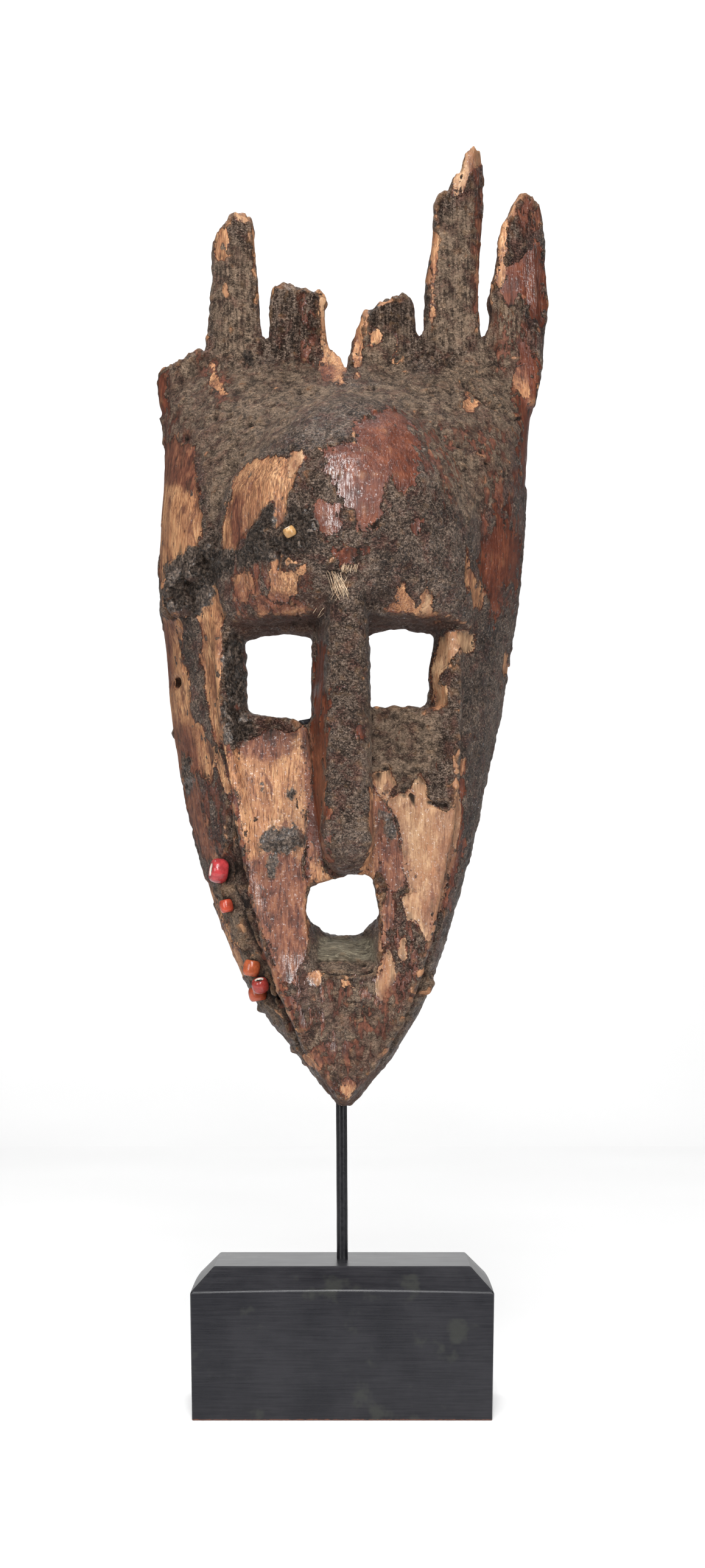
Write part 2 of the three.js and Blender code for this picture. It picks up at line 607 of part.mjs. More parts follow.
function rodGeometry(diameter = ROD_DIAMETER) {
  const path = new THREE.CatmullRomCurve3(ROD_ROUTE.map(([x, y, z]) => new THREE.Vector3(x, y, z)));
  const section = new THREE.Shape();
  for (let i = 0; i < ROD_SIDES; i += 1) {
    const angle = (2 * Math.PI * i) / ROD_SIDES;
    const point = [Math.cos(angle) * diameter / 2, Math.sin(angle) * diameter / 2];
    if (i === 0) section.moveTo(...point);
    else section.lineTo(...point);
  }
  section.closePath();
  return new THREE.ExtrudeGeometry(section, { steps: ROD_STEPS, bevelEnabled: false, extrudePath: path });
}

function blockGeometry() {
  const level = (height, halfWidth, halfDepth) => [
    [-halfWidth, -halfDepth], [halfWidth, -halfDepth], [halfWidth, halfDepth], [-halfWidth, halfDepth],
  ].map(([x, y]) => new THREE.Vector3(x, y, height));
  const halfWidth = BLOCK_WIDTH / 2;
  const halfDepth = BLOCK_DEPTH / 2;
  const body = loft([
    level(0, halfWidth - BLOCK_DRAFT, halfDepth - BLOCK_DRAFT / 2),
    level(BLOCK_SHOULDER, halfWidth, halfDepth),
    level(BLOCK_HEIGHT, halfWidth - BLOCK_CHAMFER, halfDepth - BLOCK_CHAMFER),
  ]);
  const seatRadius = ROD_DIAMETER / 2 + GAP;
  const seat = new THREE.CylinderGeometry(seatRadius, seatRadius, ROD_SEAT_DEPTH * 2, 20);
  seat.rotateX(Math.PI / 2);
  seat.translate(0, 0, BLOCK_HEIGHT);
  return toGeometry(toSolid(body).subtract(toSolid(seat)));
}

function maskSolid() {
  const lumps = LUMPS.map(([x, height, across, up, out]) =>
    lump(x, skinY(x, height), height, across, up, out));
  const outside = join([maskBody(), toSolid(foreheadDome()), toSolid(nose()), ...HORNS.map(horn), ...lumps]);
  const eyes = [EYE_LEFT, EYE_RIGHT].map((sections) => toSolid(faceHole(sections, EYE_CORNER)));
  const mouth = toSolid(faceHole(MOUTH, MOUTH_CORNER));
  const holes = [toSolid(hollow()), toSolid(foreheadHollow()), lashHole(), ...eyes, mouth];
  const mask = holes.reduce((whole, hole) => whole.subtract(hole), withoutPockets(outside));
  return mask.translate(0, 0, TIP_HEIGHT);
}

function lashHole() {
  const radius = LASH_HOLE.diameter / 2;
  const geometry = new THREE.CylinderGeometry(radius, radius, LASH_HOLE.length, 10);
  geometry.rotateZ(THREE.MathUtils.degToRad(LASH_HOLE.turn));
  geometry.translate(LASH_HOLE.x, LASH_HOLE.y, LASH_HOLE.height);
  return toSolid(geometry);
}

const model = new THREE.Group();

function addPiece(name, geometry, look) {
  const mesh = new THREE.Mesh(geometry, look);
  mesh.name = name;
  model.add(mesh);
  return mesh;
}

const crustedWood = material('crusted wood', 0x4a3a30, 0.8, 0);
const blackSteel = material('black steel', 0x14181e, 0.45, 0.6);
const blackPaint = material('black paint', 0x2c2e31, 0.5, 0);
const redGlass = material('red glass', 0xb5402f, 0.3, 0);
const paleSeed = material('pale seed', 0xd8b98a, 0.6, 0);

for (const bead of BEADS) bead.y = skinY(bead.x, bead.height) - bead.out;
PALE_BEAD.y = domeSkinY(PALE_BEAD.x, PALE_BEAD.height) - PALE_BEAD.out;

let mask = maskSolid();
for (const bead of [...BEADS, PALE_BEAD]) {
  mask = mask.subtract(toSolid(placedBead(bead, GAP)));
}
mask = mask.subtract(toSolid(rodGeometry(ROD_DIAMETER + 2 * GAP)));
addPiece('mask', toGeometry(withoutPockets(mask)), crustedWood);
addPiece('mount_rod', rodGeometry(), blackSteel);
addPiece('stand_block', blockGeometry(), blackPaint);
for (const bead of BEADS) addPiece(bead.name, placedBead(bead, 0), redGlass);
addPiece(PALE_BEAD.name, placedBead(PALE_BEAD, 0), paleSeed);

export default model;
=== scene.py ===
import itertools
import math

import bpy
import numpy as np
from mathutils import Matrix, Vector
from mathutils.bvhtree import BVHTree


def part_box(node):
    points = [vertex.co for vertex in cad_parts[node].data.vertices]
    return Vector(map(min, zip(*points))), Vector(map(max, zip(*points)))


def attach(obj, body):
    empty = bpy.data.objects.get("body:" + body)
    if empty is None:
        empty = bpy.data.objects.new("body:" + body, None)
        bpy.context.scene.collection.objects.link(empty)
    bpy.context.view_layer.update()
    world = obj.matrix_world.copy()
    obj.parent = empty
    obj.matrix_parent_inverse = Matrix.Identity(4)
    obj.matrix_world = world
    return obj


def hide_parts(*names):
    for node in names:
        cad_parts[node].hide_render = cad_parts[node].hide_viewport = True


# Carved wooden face mask with six broken horns, held up by a bent rod on a chamfered block.
# Sizes are millimetres in the part's own frame, and MM turns them into Blender's metres.
# Heights named h are measured up from the tip of the chin.

MM = 0.001
TIP_HEIGHT = 162

# Viewing point: level, looking along +Y
VIEW_X = 5.4
VIEW_DISTANCE = 1350
VIEW_HEIGHT = 235.3
LENS = 57.35
SENSOR = 36
SHIFT_UP = 0.119
EYE = Vector((VIEW_X, -VIEW_DISTANCE, VIEW_HEIGHT)) * MM

# Mask surface
WELD_GAP = 0.01
VOXEL = 1.15
SMOOTH_ROUNDS = 14
TRIANGLE_LIMIT = 194000
FIELD_REACH = 12
CRUST_THICKNESS = 0.7
DOME_CENTRE = (2.6, 318)
SEAT_SLOPE = 1.3
SEAT_REACH = 14

# Rays that find what other wood hides or shelters, which sets where shade is painted
HIDDEN_RAY_START = 1.5
SHELTER_RAY_START = 1.2
SHELTER_RAYS = 12
SHELTER_REACH = 32
SHELTER_SPREAD = 0.9

# Heights h from which, or over which, the horns take on their own look
BROKEN_FROM = 398
FLUTED_HEIGHTS = (388, 420)
UPRIGHT_HEIGHTS = (392, 412)
SPLINTERED_HEIGHTS = (438, 452)

# Relief as layers of noise: (height, lump size, salt)
BROAD_SWELLS = [(0.55, 28, 1), (0.4, 11, 2)]
CRUST_LUMPS = [(0.42, 4.2, 4), (0.3, 2.1, 5)]
WOOD_GRAIN = [(0.16, (2, 2, 26), 7), (0.12, (4, 4, 40), 8)]
STREAK_GRAIN = [(0.3, (1.9, 1.9, 7), 9)]
HORN_FLUTES = [(0.75, (4.2, 4.2, 60), 25), (0.35, (2, 2, 24), 26)]
SPLINTERS = [(1.6, (1.7, 1.7, 300), 16), (1.0, (4, 4, 300), 17)]
RAGGED_EDGES = [(2.6, (5, 5, 10), 11), (1.4, (2.1, 2.1, 4.5), 12)]

# Places on the mask where its finish changes, each an outline of (across, h) as seen from the viewing point
# on the plane through the rod. Even places keep fewer chips and less painted shade, and gloss places shine.
PATCHES = {
    "bare": {
        "left_flank_upper": [(-96, 356), (-90, 360), (-80, 356), (-78, 335), (-77, 308), (-79, 297),
            (-86, 290), (-93, 283), (-99, 282), (-100, 308), (-99, 335)],
        "left_forehead": [(-52, 346), (-40, 351), (-28, 351), (-26, 341), (-29, 330), (-31, 317),
            (-36, 314), (-38, 326), (-45, 318), (-52, 308), (-59, 298), (-65, 302), (-62, 325), (-58, 338)],
        "brow_streak_a": [(-58, 285), (-53, 293), (-49, 281), (-50, 269), (-57, 271)],
        "brow_streak_b": [(-41, 289), (-36, 291), (-24, 287), (-23, 277), (-30, 273), (-40, 275)],
        "brow_streak_c": [(-25, 294), (-19, 294), (-19, 287), (-24, 286)],
        "brow_streak_d": [(-47, 274), (-43, 276), (-41, 266), (-46, 266)],
        "brow_streak_e": [(-33, 270), (-22, 271), (-20, 267), (-32, 266)],
        "slot_side": [(-38, 300), (-32, 300), (-33, 289), (-38, 289)],
        "left_flank_brow": [(-79, 279), (-69, 282), (-66, 269), (-65, 246), (-70, 244), (-77, 256)],
        "left_flank_lower": [(-97, 264), (-88, 264), (-85, 236), (-83, 214), (-75, 204), (-69, 190),
            (-72, 176), (-80, 182), (-88, 196), (-94, 206), (-98, 236)],
        "left_flank_inner": [(-76, 262), (-68, 262), (-66, 210), (-63, 170), (-68, 183), (-73, 216)],
        "left_flank_low": [(-75, 124), (-69, 114), (-60, 91), (-50, 72), (-55, 72), (-67, 98)],
        "left_cheek": [(-59, 193), (-44, 201), (-20, 204), (-16, 199), (-17, 170), (-20, 134), (-21, 124),
            (-19, 111), (-19, 88), (-21, 78), (-27, 68), (-33, 65), (-37, 77), (-43, 91), (-50, 119),
            (-55, 151), (-61, 180)],
        "under_left_eye_chip": [(-61, 207), (-55, 212), (-53, 210), (-59, 204)],
        "brow_chip_a": [(26, 268), (29, 279), (33, 284), (36, 275), (39, 268)],
        "brow_chip_b": [(40, 263), (41, 276), (45, 284), (49, 275), (52, 263)],
        "right_streaks": [(67, 302), (69, 289), (75, 282), (76, 266), (72, 269), (65, 285)],
        "crest_chip": [(66, 378), (68, 385), (73, 381), (71, 376)],
        "left_saddle": [(-72, 402), (-69, 401), (-67, 392), (-62, 385), (-65, 384), (-70, 390)],
        "horn1_left": [(-69, 476), (-65, 478), (-63, 468), (-64, 458), (-68, 459)],
        "horn1_right": [(-48, 474), (-46, 473), (-45, 453), (-48, 455)],
        "horn2_split": [(-12, 438), (-9, 439), (-7, 427), (-5, 392), (-9, 391), (-12, 414)],
        "horn2_shards": [(-7, 408), (-3, 409), (2, 404), (1, 391), (-7, 391)],
        "horn3_left": [(6, 414), (9, 427), (11, 424), (10, 401), (7, 393)],
        "horn3_chip_a": [(14, 418), (18, 420), (21, 416), (18, 412), (15, 412)],
        "horn3_chip_b": [(28, 418), (31, 420), (31, 404), (28, 403)],
        "horn4_left": [(48, 460), (50, 484), (51, 484), (51, 450), (49, 427), (47, 427)],
        "horn4_right": [(74, 496), (76, 496), (75, 443), (73, 430)],
        "horn5_left": [(84, 478), (88, 479), (89, 453), (85, 443), (83, 447)],
        "horn5_spot": [(102, 486), (106, 485), (108, 474), (103, 472)],
        "right_edge_chips": [(91, 397), (99, 401), (100, 384), (92, 385)],
        "right_flank_chip_a": [(87, 243), (89, 243), (89, 234), (87, 234)],
        "right_flank_chip_b": [(63, 186), (65, 187), (65, 180), (63, 181)],
        "right_flank_chip_c": [(68, 202), (70, 203), (72, 199), (68, 199)],
        "tip_top": [(-3, 8), (0, 14), (4, 14), (7, 9), (5, 4), (0, 3)],
        "tip_left": [(-21, 26), (-14, 30), (-9, 24), (-14, 19), (-19, 22)],
        "right_cheek_inner": [(15, 172), (22, 164), (29, 156), (32, 140), (35, 124), (30, 116), (22, 122),
            (17, 130), (15, 150)],
        "left_flank_strip": [(-93, 200), (-84, 196), (-77, 170), (-70, 146), (-64, 128), (-70, 128),
            (-79, 146), (-87, 172)],
        "mouth_right": [(20, 105), (25, 117), (29, 105), (25, 88), (22, 85)],
        "under_lip": [(-20, 70), (-14, 74), (-10, 71), (-12, 65), (-18, 65)],
        "lip_pit": [(-2, 69), (6, 70), (6, 64), (0, 63)],
        "round_nose_end": [(-19, 140), (-14, 138), (-10, 127), (-3, 121), (6, 121), (12, 129), (15, 140),
            (20, 138), (18, 122), (6, 116), (-6, 116), (-18, 122)],
    },
    "pale": {
        "right_cheek": [(18, 175), (23, 168), (27, 166), (31, 170), (34, 169), (38, 176), (42, 180),
            (45, 175), (46, 168), (49, 162), (55, 159), (60, 162), (62, 174), (64, 160), (60, 131), (52, 105),
            (45, 91), (39, 100), (36, 116), (33, 132), (31, 146), (28, 158), (22, 166)],
        "right_cheek_root": [(15, 180), (25, 181), (29, 174), (25, 168), (19, 170)],
        "right_eye_wall": [(52, 253), (59, 257), (71, 256), (70, 246), (64, 247), (57, 240), (52, 230),
            (49, 215), (47, 215), (49, 236)],
        "right_eye_rough": [(51, 226), (56, 227), (57, 218), (52, 214), (49, 215)],
        "chip_long": [(25, 87), (28, 78), (29, 68), (23, 62), (21, 55), (18, 62), (20, 77)],
        "chip_short": [(31, 90), (34, 91), (35, 80), (32, 77), (30, 82)],
        "chip_upper": [(30, 114), (36, 116), (41, 108), (41, 100), (35, 101)],
        "chip_edge": [(43, 99), (47, 101), (49, 90), (45, 89)],
        "chip_tan_left": [(-28, 354), (-22, 355), (-20, 351), (-25, 345), (-28, 340), (-29, 345)],
        "horn1_tip": [(-59, 484), (-53, 484), (-50, 481), (-51, 478), (-54, 477), (-58, 480)],
        "horn2_pale": [(-12, 437), (-9, 436), (-9, 420), (-11, 406)],
        "horn4_tip": [(60, 493), (61, 503), (66, 509), (68, 518), (76, 519), (76, 510), (70, 506),
            (66, 499), (62, 491)],
        "horn1_edge": [(-70, 477), (-67, 477), (-67, 466), (-69, 466)],
        "brow_chip_b_core": [(43, 265), (44, 277), (47, 278), (50, 265)],
    },
    "polish": {
        "forehead": [(9, 371), (25, 378), (34, 374), (40, 364), (42, 351), (40, 336), (30, 332), (26, 340),
            (19, 324), (18, 312), (9, 312), (8, 324), (0, 326), (-5, 336), (-9, 350), (-10, 356), (7, 358),
            (6, 367)],
        "flake": [(-12, 326), (0, 326), (-4, 317), (1, 306), (0, 302), (-6, 304), (-14, 312), (-15, 321)],
        "ridge_low": [(-5, 302), (14, 303), (14, 295), (-1, 293)],
        "small_right": [(37, 318), (40, 318), (41, 311), (38, 310)],
        "right_flank": [(76, 309), (80, 310), (86, 330), (90, 324), (90, 309), (96, 310), (96, 294),
            (94, 282), (86, 282), (83, 264), (82, 259), (79, 270), (74, 287), (73, 292)],
        "right_edge_red": [(95, 414), (108, 404), (104, 368), (100, 335), (97, 335), (95, 368), (94, 384)],
        "horn5_right": [(99, 462), (104, 468), (111, 453), (111, 430), (105, 422), (100, 430), (98, 443)],
        "horn5_band": [(89, 457), (100, 460), (101, 440), (91, 433), (87, 440)],
        "left_edge_red": [(-100, 394), (-96, 395), (-94, 374), (-99, 371)],
        "nose_left": [(-15, 249), (-9, 249), (-9, 170), (-11, 141), (-18, 137), (-17, 197)],
        "left_ridge": [(-66, 207), (-61, 207), (-56, 170), (-50, 137), (-42, 105), (-33, 72), (-24, 42),
            (-28, 42), (-38, 72), (-48, 105), (-55, 137), (-62, 170)],
        "right_panel_edge": [(62, 177), (66, 177), (64, 137), (57, 105), (54, 108), (60, 137)],
        "nose_end_left": [(-12, 146), (-6, 147), (-3, 137), (-7, 133), (-11, 137)],
        "nose_patch_a": [(8, 204), (12, 205), (12, 197), (9, 196)],
        "nose_patch_b": [(-5, 228), (1, 230), (0, 223), (-4, 220)],
        "beside_nose_end": [(-21, 170), (-12, 170), (-10, 140), (-12, 122), (-18, 118), (-21, 124)],
    },
    "half_worn": {
        "chin": [(-30, 85), (-21, 72), (-1, 70), (19, 70), (32, 91), (45, 90), (50, 108), (58, 124),
            (58, 108), (49, 82), (35, 52), (19, 32), (4, 17), (-7, 17), (-19, 31), (-28, 52), (-35, 72)],
        "beside_mouth": [(16, 157), (24, 150), (20, 124), (28, 112), (38, 98), (45, 90), (47, 75),
            (40, 62), (30, 60), (22, 70), (20, 85), (22, 105), (16, 130)],
        "right_crest_red": [(62, 366), (78, 368), (91, 363), (88, 348), (75, 346), (65, 353)],
        "left_cheek_low": [(-48, 124), (-21, 124), (-21, 111), (-19, 85), (-27, 78), (-38, 85), (-44, 105)],
        "over_mouth": [(-18, 134), (-8, 130), (6, 127), (18, 130), (21, 118), (-20, 118)],
        "right_of_dome": [(40, 372), (62, 366), (66, 340), (58, 318), (44, 330), (42, 350)],
        "left_crest": [(-98, 380), (-84, 372), (-78, 350), (-84, 344), (-98, 352)],
        "left_edge_top": [(-100, 396), (-93, 396), (-91, 376), (-98, 370)],
        "right_flank_band": [(74, 345), (96, 345), (98, 300), (92, 262), (80, 262), (74, 300)],
        "horn5_foot": [(84, 430), (108, 420), (104, 390), (80, 396)],
        "horn5_top": [(90, 494), (104, 494), (108, 470), (92, 470)],
        "left_brow": [(-64, 294), (-44, 294), (-18, 292), (-13, 276), (-16, 262), (-60, 262)],
        "left_flank_foot": [(-94, 200), (-68, 196), (-58, 131), (-80, 137), (-88, 160)],
        "horn4_edge": [(68, 518), (77, 518), (77, 430), (71, 430)],
        "horn2_face": [(-24, 437), (-14, 438), (-14, 400), (-22, 400)],
        "left_saddle": [(-80, 410), (-66, 404), (-56, 384), (-66, 376), (-78, 392)],
        "tip": [(-12, 26), (12, 26), (14, 12), (4, 0), (-8, 6)],
        "left_eye_side": [(-66, 250), (-52, 250), (-52, 212), (-66, 208)],
    },
    "wax": {
        "lumps": [(-96, 292), (-86, 300), (-73, 305), (-63, 300), (-57, 302), (-57, 292), (-67, 284),
            (-72, 272), (-77, 266), (-90, 264), (-97, 269)],
        "lump_tail": [(-61, 300), (-47, 307), (-30, 308), (-21, 300), (-30, 298), (-44, 295), (-55, 292)],
        "forehead_dark_strip": [(-38, 326), (-36, 322), (-38, 312), (-45, 305), (-53, 300), (-55, 305),
            (-47, 318)],
        "pale_bead_wax": [(-30, 323), (-19, 325), (-14, 312), (-19, 300), (-27, 300), (-32, 305)],
        "cheek_smear": [(-47, 145), (-37, 151), (-27, 151), (-19, 147), (-21, 141), (-30, 138), (-40, 137),
            (-46, 139)],
        "cheek_drip": [(-42, 136), (-36, 137), (-34, 124), (-37, 120), (-41, 124)],
        "right_cheek_stain": [(20, 159), (26, 157), (29, 146), (25, 143), (21, 150)],
        "cheek_spot": [(-30, 172), (-27, 174), (-25, 170), (-27, 166), (-30, 167)],
        "cheek_spot_small": [(-45, 174), (-43, 174), (-42, 171), (-45, 171)],
        "under_left_eye": [(-65, 214), (-57, 215), (-47, 208), (-50, 199), (-58, 195), (-64, 197)],
        "left_eye_corner": [(-65, 253), (-56, 256), (-53, 243), (-53, 216), (-63, 216), (-65, 236)],
        "flank_lump_a": [(-86, 190), (-82, 188), (-80, 174), (-84, 168), (-87, 177)],
        "crest_blob": [(-54, 406), (-50, 408), (-47, 401), (-52, 398)],
    },
    "red": {
        "left_cheek_foot": [(-55, 132), (-38, 140), (-20, 132), (-18, 64), (-36, 58), (-48, 96)],
        "under_left_eye": [(-62, 208), (-40, 212), (-24, 206), (-26, 190), (-42, 186), (-58, 192)],
        "left_cheek_edge": [(-22, 204), (-15, 204), (-14, 130), (-20, 130)],
        "left_flank_foot": [(-92, 210), (-80, 206), (-66, 140), (-72, 120), (-84, 150)],
        "left_flank_rim": [(-99, 262), (-92, 262), (-90, 226), (-96, 220)],
        "right_cheek_edge": [(50, 158), (62, 166), (62, 132), (50, 100), (44, 92), (42, 106), (50, 130)],
        "mouth_side": [(20, 120), (30, 118), (30, 84), (20, 84)],
        "brow_band": [(-66, 274), (-40, 268), (-15, 270), (-15, 276), (-40, 276), (-62, 282)],
        "tan_edge": [(-62, 325), (-56, 330), (-48, 300), (-58, 296)],
        "horn_roots": [(-20, 400), (-4, 400), (-4, 390), (-20, 390)],
        "left_shoulder": [(-101, 396), (-82, 396), (-68, 376), (-62, 352), (-72, 330), (-98, 336)],
        "right_shoulder": [(66, 374), (98, 372), (98, 300), (84, 290), (72, 320)],
        "right_cheek_inner": [(14, 166), (24, 164), (36, 150), (38, 118), (20, 112)],
        "chin": [(-30, 84), (-10, 60), (20, 60), (40, 84), (36, 52), (5, 12), (-10, 12), (-28, 52)],
        "horn5": [(92, 494), (108, 494), (112, 420), (104, 390), (90, 396)],
        "horn4": [(68, 518), (78, 518), (77, 420), (70, 420)],
    },
    "even": {
        "nose": [(-12, 262), (12, 262), (14, 150), (18, 122), (-16, 122), (-14, 150)],
        "mouth_floor": [(-18, 92), (20, 92), (18, 70), (-17, 70)],
        "bead_row": [(-90, 140), (-72, 140), (-34, 40), (-56, 40)],
        "brow_right": [(14, 300), (60, 300), (60, 266), (14, 266)],
    },
    "gloss": {
        "dome": [(-12, 350), (-2, 352), (8, 350), (8, 336), (4, 318), (2, 306), (-6, 306), (-10, 330)],
        "left_ridge": [(-54, 134), (-49, 134), (-42, 104), (-46, 104)],
        "chin_left": [(-34, 84), (-18, 82), (-6, 60), (-8, 46), (-20, 44), (-32, 66)],
        "chin_middle": [(-12, 42), (2, 42), (4, 30), (-8, 26)],
        "chin_right": [(4, 70), (20, 70), (20, 54), (8, 52)],
        "nose_end_left": [(-13, 150), (-8, 152), (-6, 140), (-9, 134), (-13, 138)],
        "horn5": [(98, 472), (108, 466), (110, 440), (100, 430)],
        "flake_edge": [(-10, 324), (0, 324), (0, 306), (-8, 306)],
    },
    "dust": {
        "crest": [(-101, 401), (-86, 414), (-73, 404), (-47, 401), (-21, 401), (-1, 387), (45, 394),
            (78, 414), (98, 401), (95, 368), (88, 335), (68, 315), (52, 338), (42, 368), (25, 381),
            (-1, 384), (-21, 374), (-40, 355), (-53, 345), (-72, 315), (-77, 348), (-86, 358), (-99, 355)],
        "horn1": [(-70, 466), (-48, 466), (-46, 401), (-71, 401)],
        "horn3": [(10, 420), (34, 420), (36, 394), (10, 394)],
        "horn4": [(50, 476), (70, 490), (72, 410), (46, 410)],
        "horn5": [(78, 440), (96, 440), (96, 400), (78, 400)],
        "right_cheek": [(13, 217), (34, 219), (52, 214), (52, 188), (44, 178), (29, 170), (14, 176)],
        "mouth_floor": [(-17, 91), (19, 91), (18, 70), (-17, 70)],
        "chin": [(-22, 62), (-6, 68), (22, 66), (34, 62), (26, 40), (8, 16), (-8, 16), (-22, 42)],
        "left_low_flank": [(-72, 137), (-60, 124), (-40, 72), (-30, 45), (-40, 49), (-56, 78), (-69, 111)],
        "right_low_flank": [(45, 75), (52, 75), (45, 58), (32, 42), (19, 26), (12, 19), (25, 39)],
    },
}

# Place of the greyed wood on the mouth floor, painted lighter as well to stand in for light falling on it
GREYED_LIT_MOUTH_FLOOR = [(-14, 91), (18, 91), (18, 78), (-14, 78)]

# Bare places with dark streaks along the grain
STREAKED = (
    "left_forehead", "brow_streak_a", "brow_streak_b", "horn2_split", "right_streaks", "left_flank_inner",
)

# Cracks and slots: (width, depth, route of (across, h))
CRACKS = [
    (1.5, 3.2, [(66, 391), (70, 387), (75, 382), (79, 379), (82, 378)]),
    (0.8, 1.6, [(82, 378), (87, 375), (93, 371), (97, 372)]),
    (0.7, 1.2, [(34, 390), (39, 387), (43, 385), (50, 386)]),
    (0.7, 1.2, [(58, 399), (63, 396), (66, 391)]),
    (0.9, 3.5, [(-35, 299), (-35.5, 290)]),
    (0.5, 1.0, [(-20, 158), (-20.5, 146), (-20, 136), (-19, 128)]),
    (1.1, 2.6, [(-61, 160), (-60, 124), (-53.5, 104), (-48.5, 91), (-40, 72), (-32, 52), (-24, 34)]),
    (1.6, 2.4, [(47, 164.5), (51, 163), (56, 162.5)]),
    (0.7, 1.6, [(-12, 79), (-4, 78), (4, 78), (12, 77)]),
    (0.7, 1.8, [(-11, 72), (-2, 71.5), (8, 72), (16, 73)]),
    (0.5, 0.8, [(-16, 320), (-13, 310), (-6, 303), (0, 302)]),
    (0.6, 1.0, [(-10, 288), (-4, 290), (3, 289)]),
    (0.6, 1.0, [(-22, 262), (-26, 270), (-24, 280)]),
]

# Pits: (across, h, radius, depth)
PITS = [
    (-89.6, 229, 2.6, 2.4),
    (-69, 372, 2.2, 2.5), (-50, 369, 1.8, 2.2), (-85, 361, 1.5, 2), (1.8, 63, 1, 1.5), (-47, 372, 1.2, 1.5),
    (-58, 381, 1.4, 1.5), (-77, 333, 1.2, 1), (-88, 250, 1.6, 1.2), (-82, 150, 1.4, 1), (24, 170, 1.2, 1),
    (33, 168, 1.5, 1.2), (50, 173, 1.4, 1.2), (-30, 392, 2, 2), (-24, 386, 1.6, 1.6), (17, 388, 1.2, 1.4),
]

# Standing lumps of wax and crust: (across, h, radius, how far they stand out)
LUMPS = [
    (-88, 279, 6, 2.4), (-83, 271, 5, 2.6), (-92, 268, 5, 2), (-78, 284, 5, 2.2), (-71, 287, 4.5, 2.2),
    (-74, 279, 4.5, 1.6), (-66, 293, 4, 1.8), (-86, 262, 4.5, 1.8), (-61, 299, 4, 1.4), (-33, 309, 4.5, 1.6),
    (-28, 294, 3.5, 1.8), (-22, 291, 3, 1.4), (-22, 302, 3, 1.4), (-38, 298, 3, 1.2), (-30.5, 149, 5, 1.1),
    (-38, 146, 5, 0.9), (-24, 147, 4, 0.9), (-44, 130, 4, 0.7), (-27.5, 171, 2.6, 0.9), (-60, 206, 4, 0.9),
    (-84, 185, 3, 1.6), (-82, 178, 2.6, 1.4), (-66, 116, 2, 0.8), (-62, 119, 1.6, 0.7), (50, 66, 3, 1.2),
    (-24, 62, 4, 0.7), (-15, 57, 5, 0.7), (-8, 37, 4, 0.6), (10, 62, 4, 0.6), (-86, 243, 3, 0.8),
    (-83, 228, 3, 0.9), (-81, 218, 3, 0.8), (4, 318, 4, 0.6), (3, 310, 3.5, 0.6), (-4, 297, 4, 0.6),
    (86, 466, 4, 0.8), (77, 437, 2, 1.6), (92, 449, 5, 0.7), (50, 238, 4, 1), (52, 231, 4, 1.2),
    (56, 225, 3, 1), (-43.5, 53, 2.2, 1.6), (-36, 46, 2, 0.9), (-26, 31, 2, 1.8), (-20, 24, 2, 0.8),
]

# Rod, with the same route as the solid
ROD_RADIUS = 3
ROD_SIDES = 28
ROD_STEPS = 8
ROD_UNEVENNESS = 0.05
ROD_ROUTE = [
    (0, 0, 53.8), (-0.3, 0, 120), (-1, 0, 182), (-3, 0.5, 210), (-14, 1, 230), (-26, 1, 250), (-31, -4, 274),
    (-30, -20, 312), (-27, -34, 342), (-24, -39, 356), (-22, -45, 364), (-19, -55, 366),
]

# Slanted cut at the end of the rod
WEDGE_TOP = 203.6
WEDGE_SLOPE = 0.21
WEDGE_FROM_Y = -38

# Stand block
BLOCK_COLUMNS = 24
SHOULDER_HEIGHT = 66.8
CHAMFER = 12
FOOT_INSET = 1
SHOULDER_BOW = 1.3
EDGE_ROUND = 0.7
EDGE_STEPS = 3
EDGE_ANGLE = 25

# Beads: name, diameter, length, turn about Z, tip about Y, how far it stands out, glass colour
BEADS = [
    ("bead_red_1", 13.2, 8.8, 14, 8, 3.0, (0.50, 0.050, 0.055)),
    ("bead_red_2", 7.2, 6.8, 0, 78, 3.0, (0.52, 0.075, 0.038)),
    ("bead_red_3", 9.0, 8.4, 0, 100, 3.0, (0.46, 0.105, 0.040)),
    ("bead_red_4", 9.0, 7.0, 64, 66, 3.0, (0.33, 0.042, 0.034)),
    ("bead_red_5", 9.6, 7.6, 0, 80, 2.6, (0.46, 0.090, 0.040)),
    ("bead_pale", 6.2, 5.0, 30, 56, 0.6, (0.50, 0.28, 0.11)),
]

# Bead mesh. The bore's radius is a share of the bead's diameter. The pale core and the dark bore are painted
# within shares of its radius.
BEAD_RINGS = 48
BEAD_SIDES = 40
BEAD_UNEVENNESS = 0.025
END_FULLNESS = 0.85
RIM_FULLNESS = 0.9
BORE_SHARE = 0.13
PAINTED_CORE = 0.52
PAINTED_BORE = 0.36

# Straw bundles: across and h of the middle, half width, half height, length, lean, count
STRAW_BUNDLES = [
    ((-2.6, 282), 4.2, 2.6, 12.5, -0.30, 24),
    ((-2, 280), 4.5, 3.5, 9, 0.35, 7),
    ((3.8, 290.6), 4.2, 1.2, 4.2, 0.3, 22),
    ((-14, 267), 3, 1.5, 5, 0.6, 5),
]
STRAW_SEED = 7
STRAW_STATIONS = 7
STRAW_SIDES = 5
STRAW_RADII = (0.10, 0.17)
STRAW_TAPER = 0.4

# Floor and backdrop
FLOOR_HALF_WIDTH = 2200
FLOOR_ROWS = (-430, 0, 600, 1300, 2000)
BACKDROP_HALF_WIDTH = 800
BACKDROP_BACK = 2900
BACKDROP_BEND = 900
BACKDROP_TOP = 2100
BACKDROP_STEPS = 12
PAPER_GLOW = 0.25

